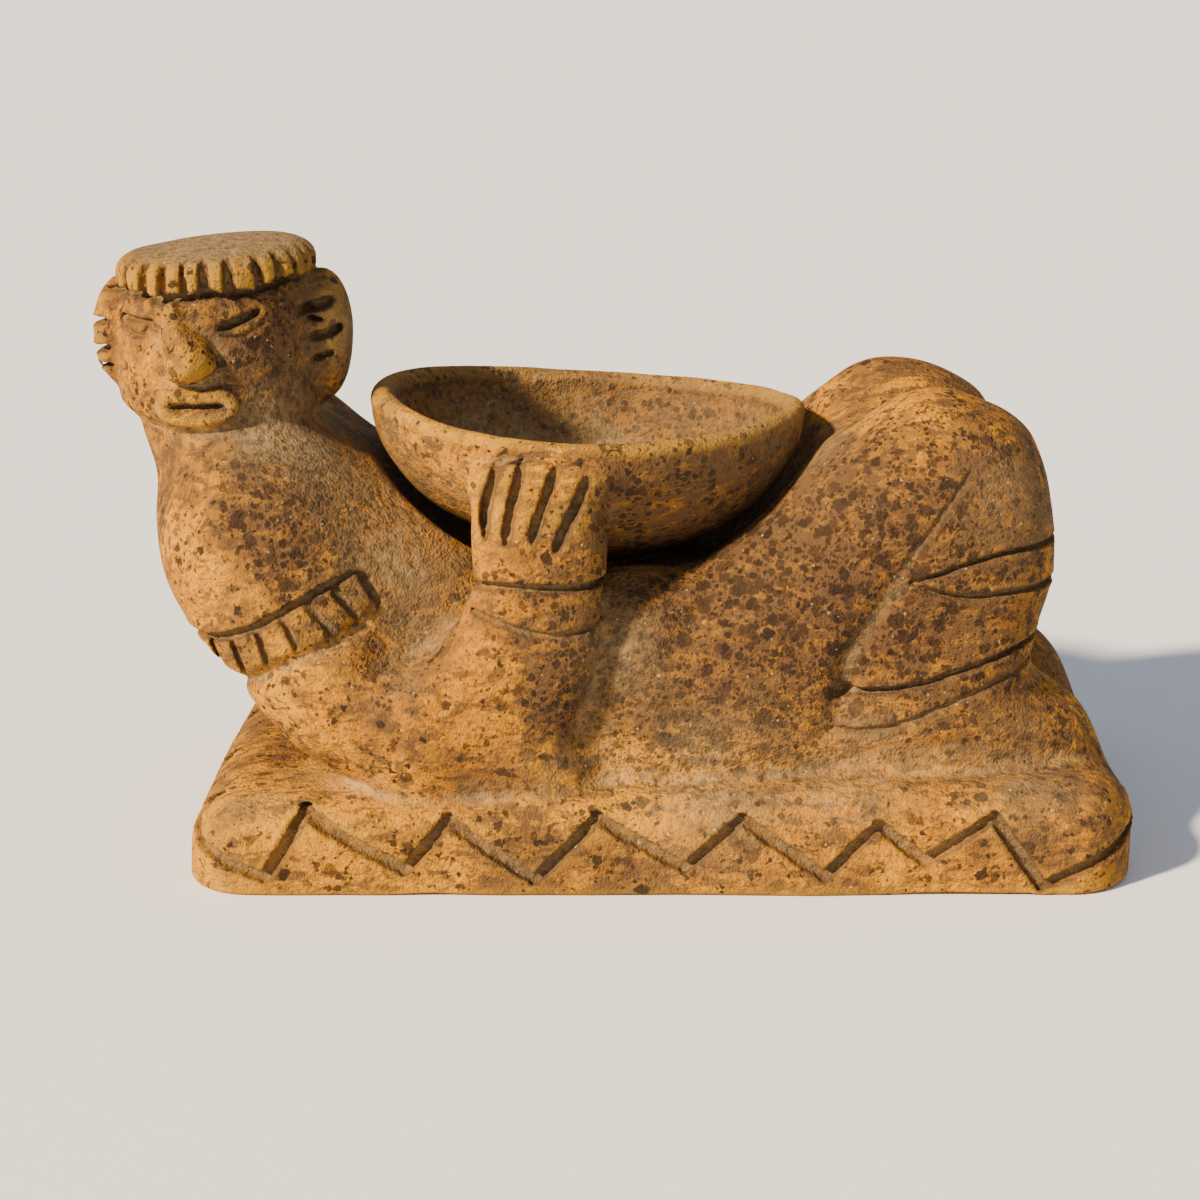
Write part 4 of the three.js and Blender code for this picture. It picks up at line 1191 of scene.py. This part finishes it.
    # Relief: sand, small lumps and pits, with their heights in mm.
    pits = add(tree, "TexVoronoi", {"Vector": place, "Scale": per_mm(1.5)}, "Distance")
    pits = add(tree, "MapRange", {"Value": pits, "From Max": 0.25}, interpolation_type="SMOOTHSTEP")
    relief = 0.0
    for bumps, height_mm in ((grains, 0.38), (lumps, 0.9), (pits, 0.14)):
        relief = add(tree, "Math", {0: bumps, 1: height_mm * MM, 2: relief}, operation="MULTIPLY_ADD")
    bumped = add(tree, "Bump", {"Height": relief, "Distance": 1.0, "Strength": 1.0})
    tree.links.new(bumped, shader.inputs["Normal"])
    return made


def paper():
    # Uncoated paper, pressed smooth, for the piece to stand on. It is white and dull, with faint fibres.
    made, tree, shader = new_material("pale paper")
    place = add(tree, "TexCoord", {}, "Object")
    fibre = add(tree, "TexNoise", {"Vector": place, "Scale": per_mm(1.5), "Detail": 4.0})
    shade = add(tree, "Mix", {"Factor": fibre, 6: linear(PAPER), 7: linear(PAPER_FIBRE)}, 2, data_type="RGBA")
    tree.links.new(shade, shader.inputs["Base Color"])
    shader.inputs["Roughness"].default_value = 0.9
    return made


figure_piece.data.materials.clear()
figure_piece.data.materials.append(fired_clay())
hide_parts("chac_mool")
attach(figure_piece, "root")


# The studio: a pale floor, daylight from all round, and one soft lamp high on the left, a little in front.

floor_mesh = bpy.data.meshes.new("floor")
floor_mesh.from_pydata([(-6, -6, 0), (6, -6, 0), (6, 6, 0), (-6, 6, 0)], [], [(0, 1, 2, 3)])  # 12 m each way
floor = bpy.data.objects.new("floor", floor_mesh)
bpy.context.scene.collection.objects.link(floor)
floor_mesh.materials.append(paper())

world = bpy.data.worlds.new("studio")
world.use_nodes = True
world.node_tree.nodes["Background"].inputs["Color"].default_value = linear(DAYLIGHT)
world.node_tree.nodes["Background"].inputs["Strength"].default_value = DAYLIGHT_STRENGTH
bpy.context.scene.world = world

lamp_data = bpy.data.lights.new("lamp", "SUN")
lamp_data.energy = LAMP_STRENGTH
lamp_data.angle = LAMP_WIDTH
lamp_data.color = linear(LAMPLIGHT)[:3]
lamp = bpy.data.objects.new("lamp", lamp_data)
lamp.rotation_euler = Vector(LAMP_WAY).to_track_quat("Z", "Y").to_euler()
bpy.context.scene.collection.objects.link(lamp)

camera_data = bpy.data.cameras.new("camera")
camera_data.sensor_width = SENSOR
camera_data.lens = LENS
camera_data.clip_start = 0.01
camera = bpy.data.objects.new("camera", camera_data)
camera.location = CAMERA
camera.rotation_euler = (math.radians(90 - CAMERA_DOWN), 0, 0)
bpy.context.scene.collection.objects.link(camera)
bpy.context.scene.camera = camera
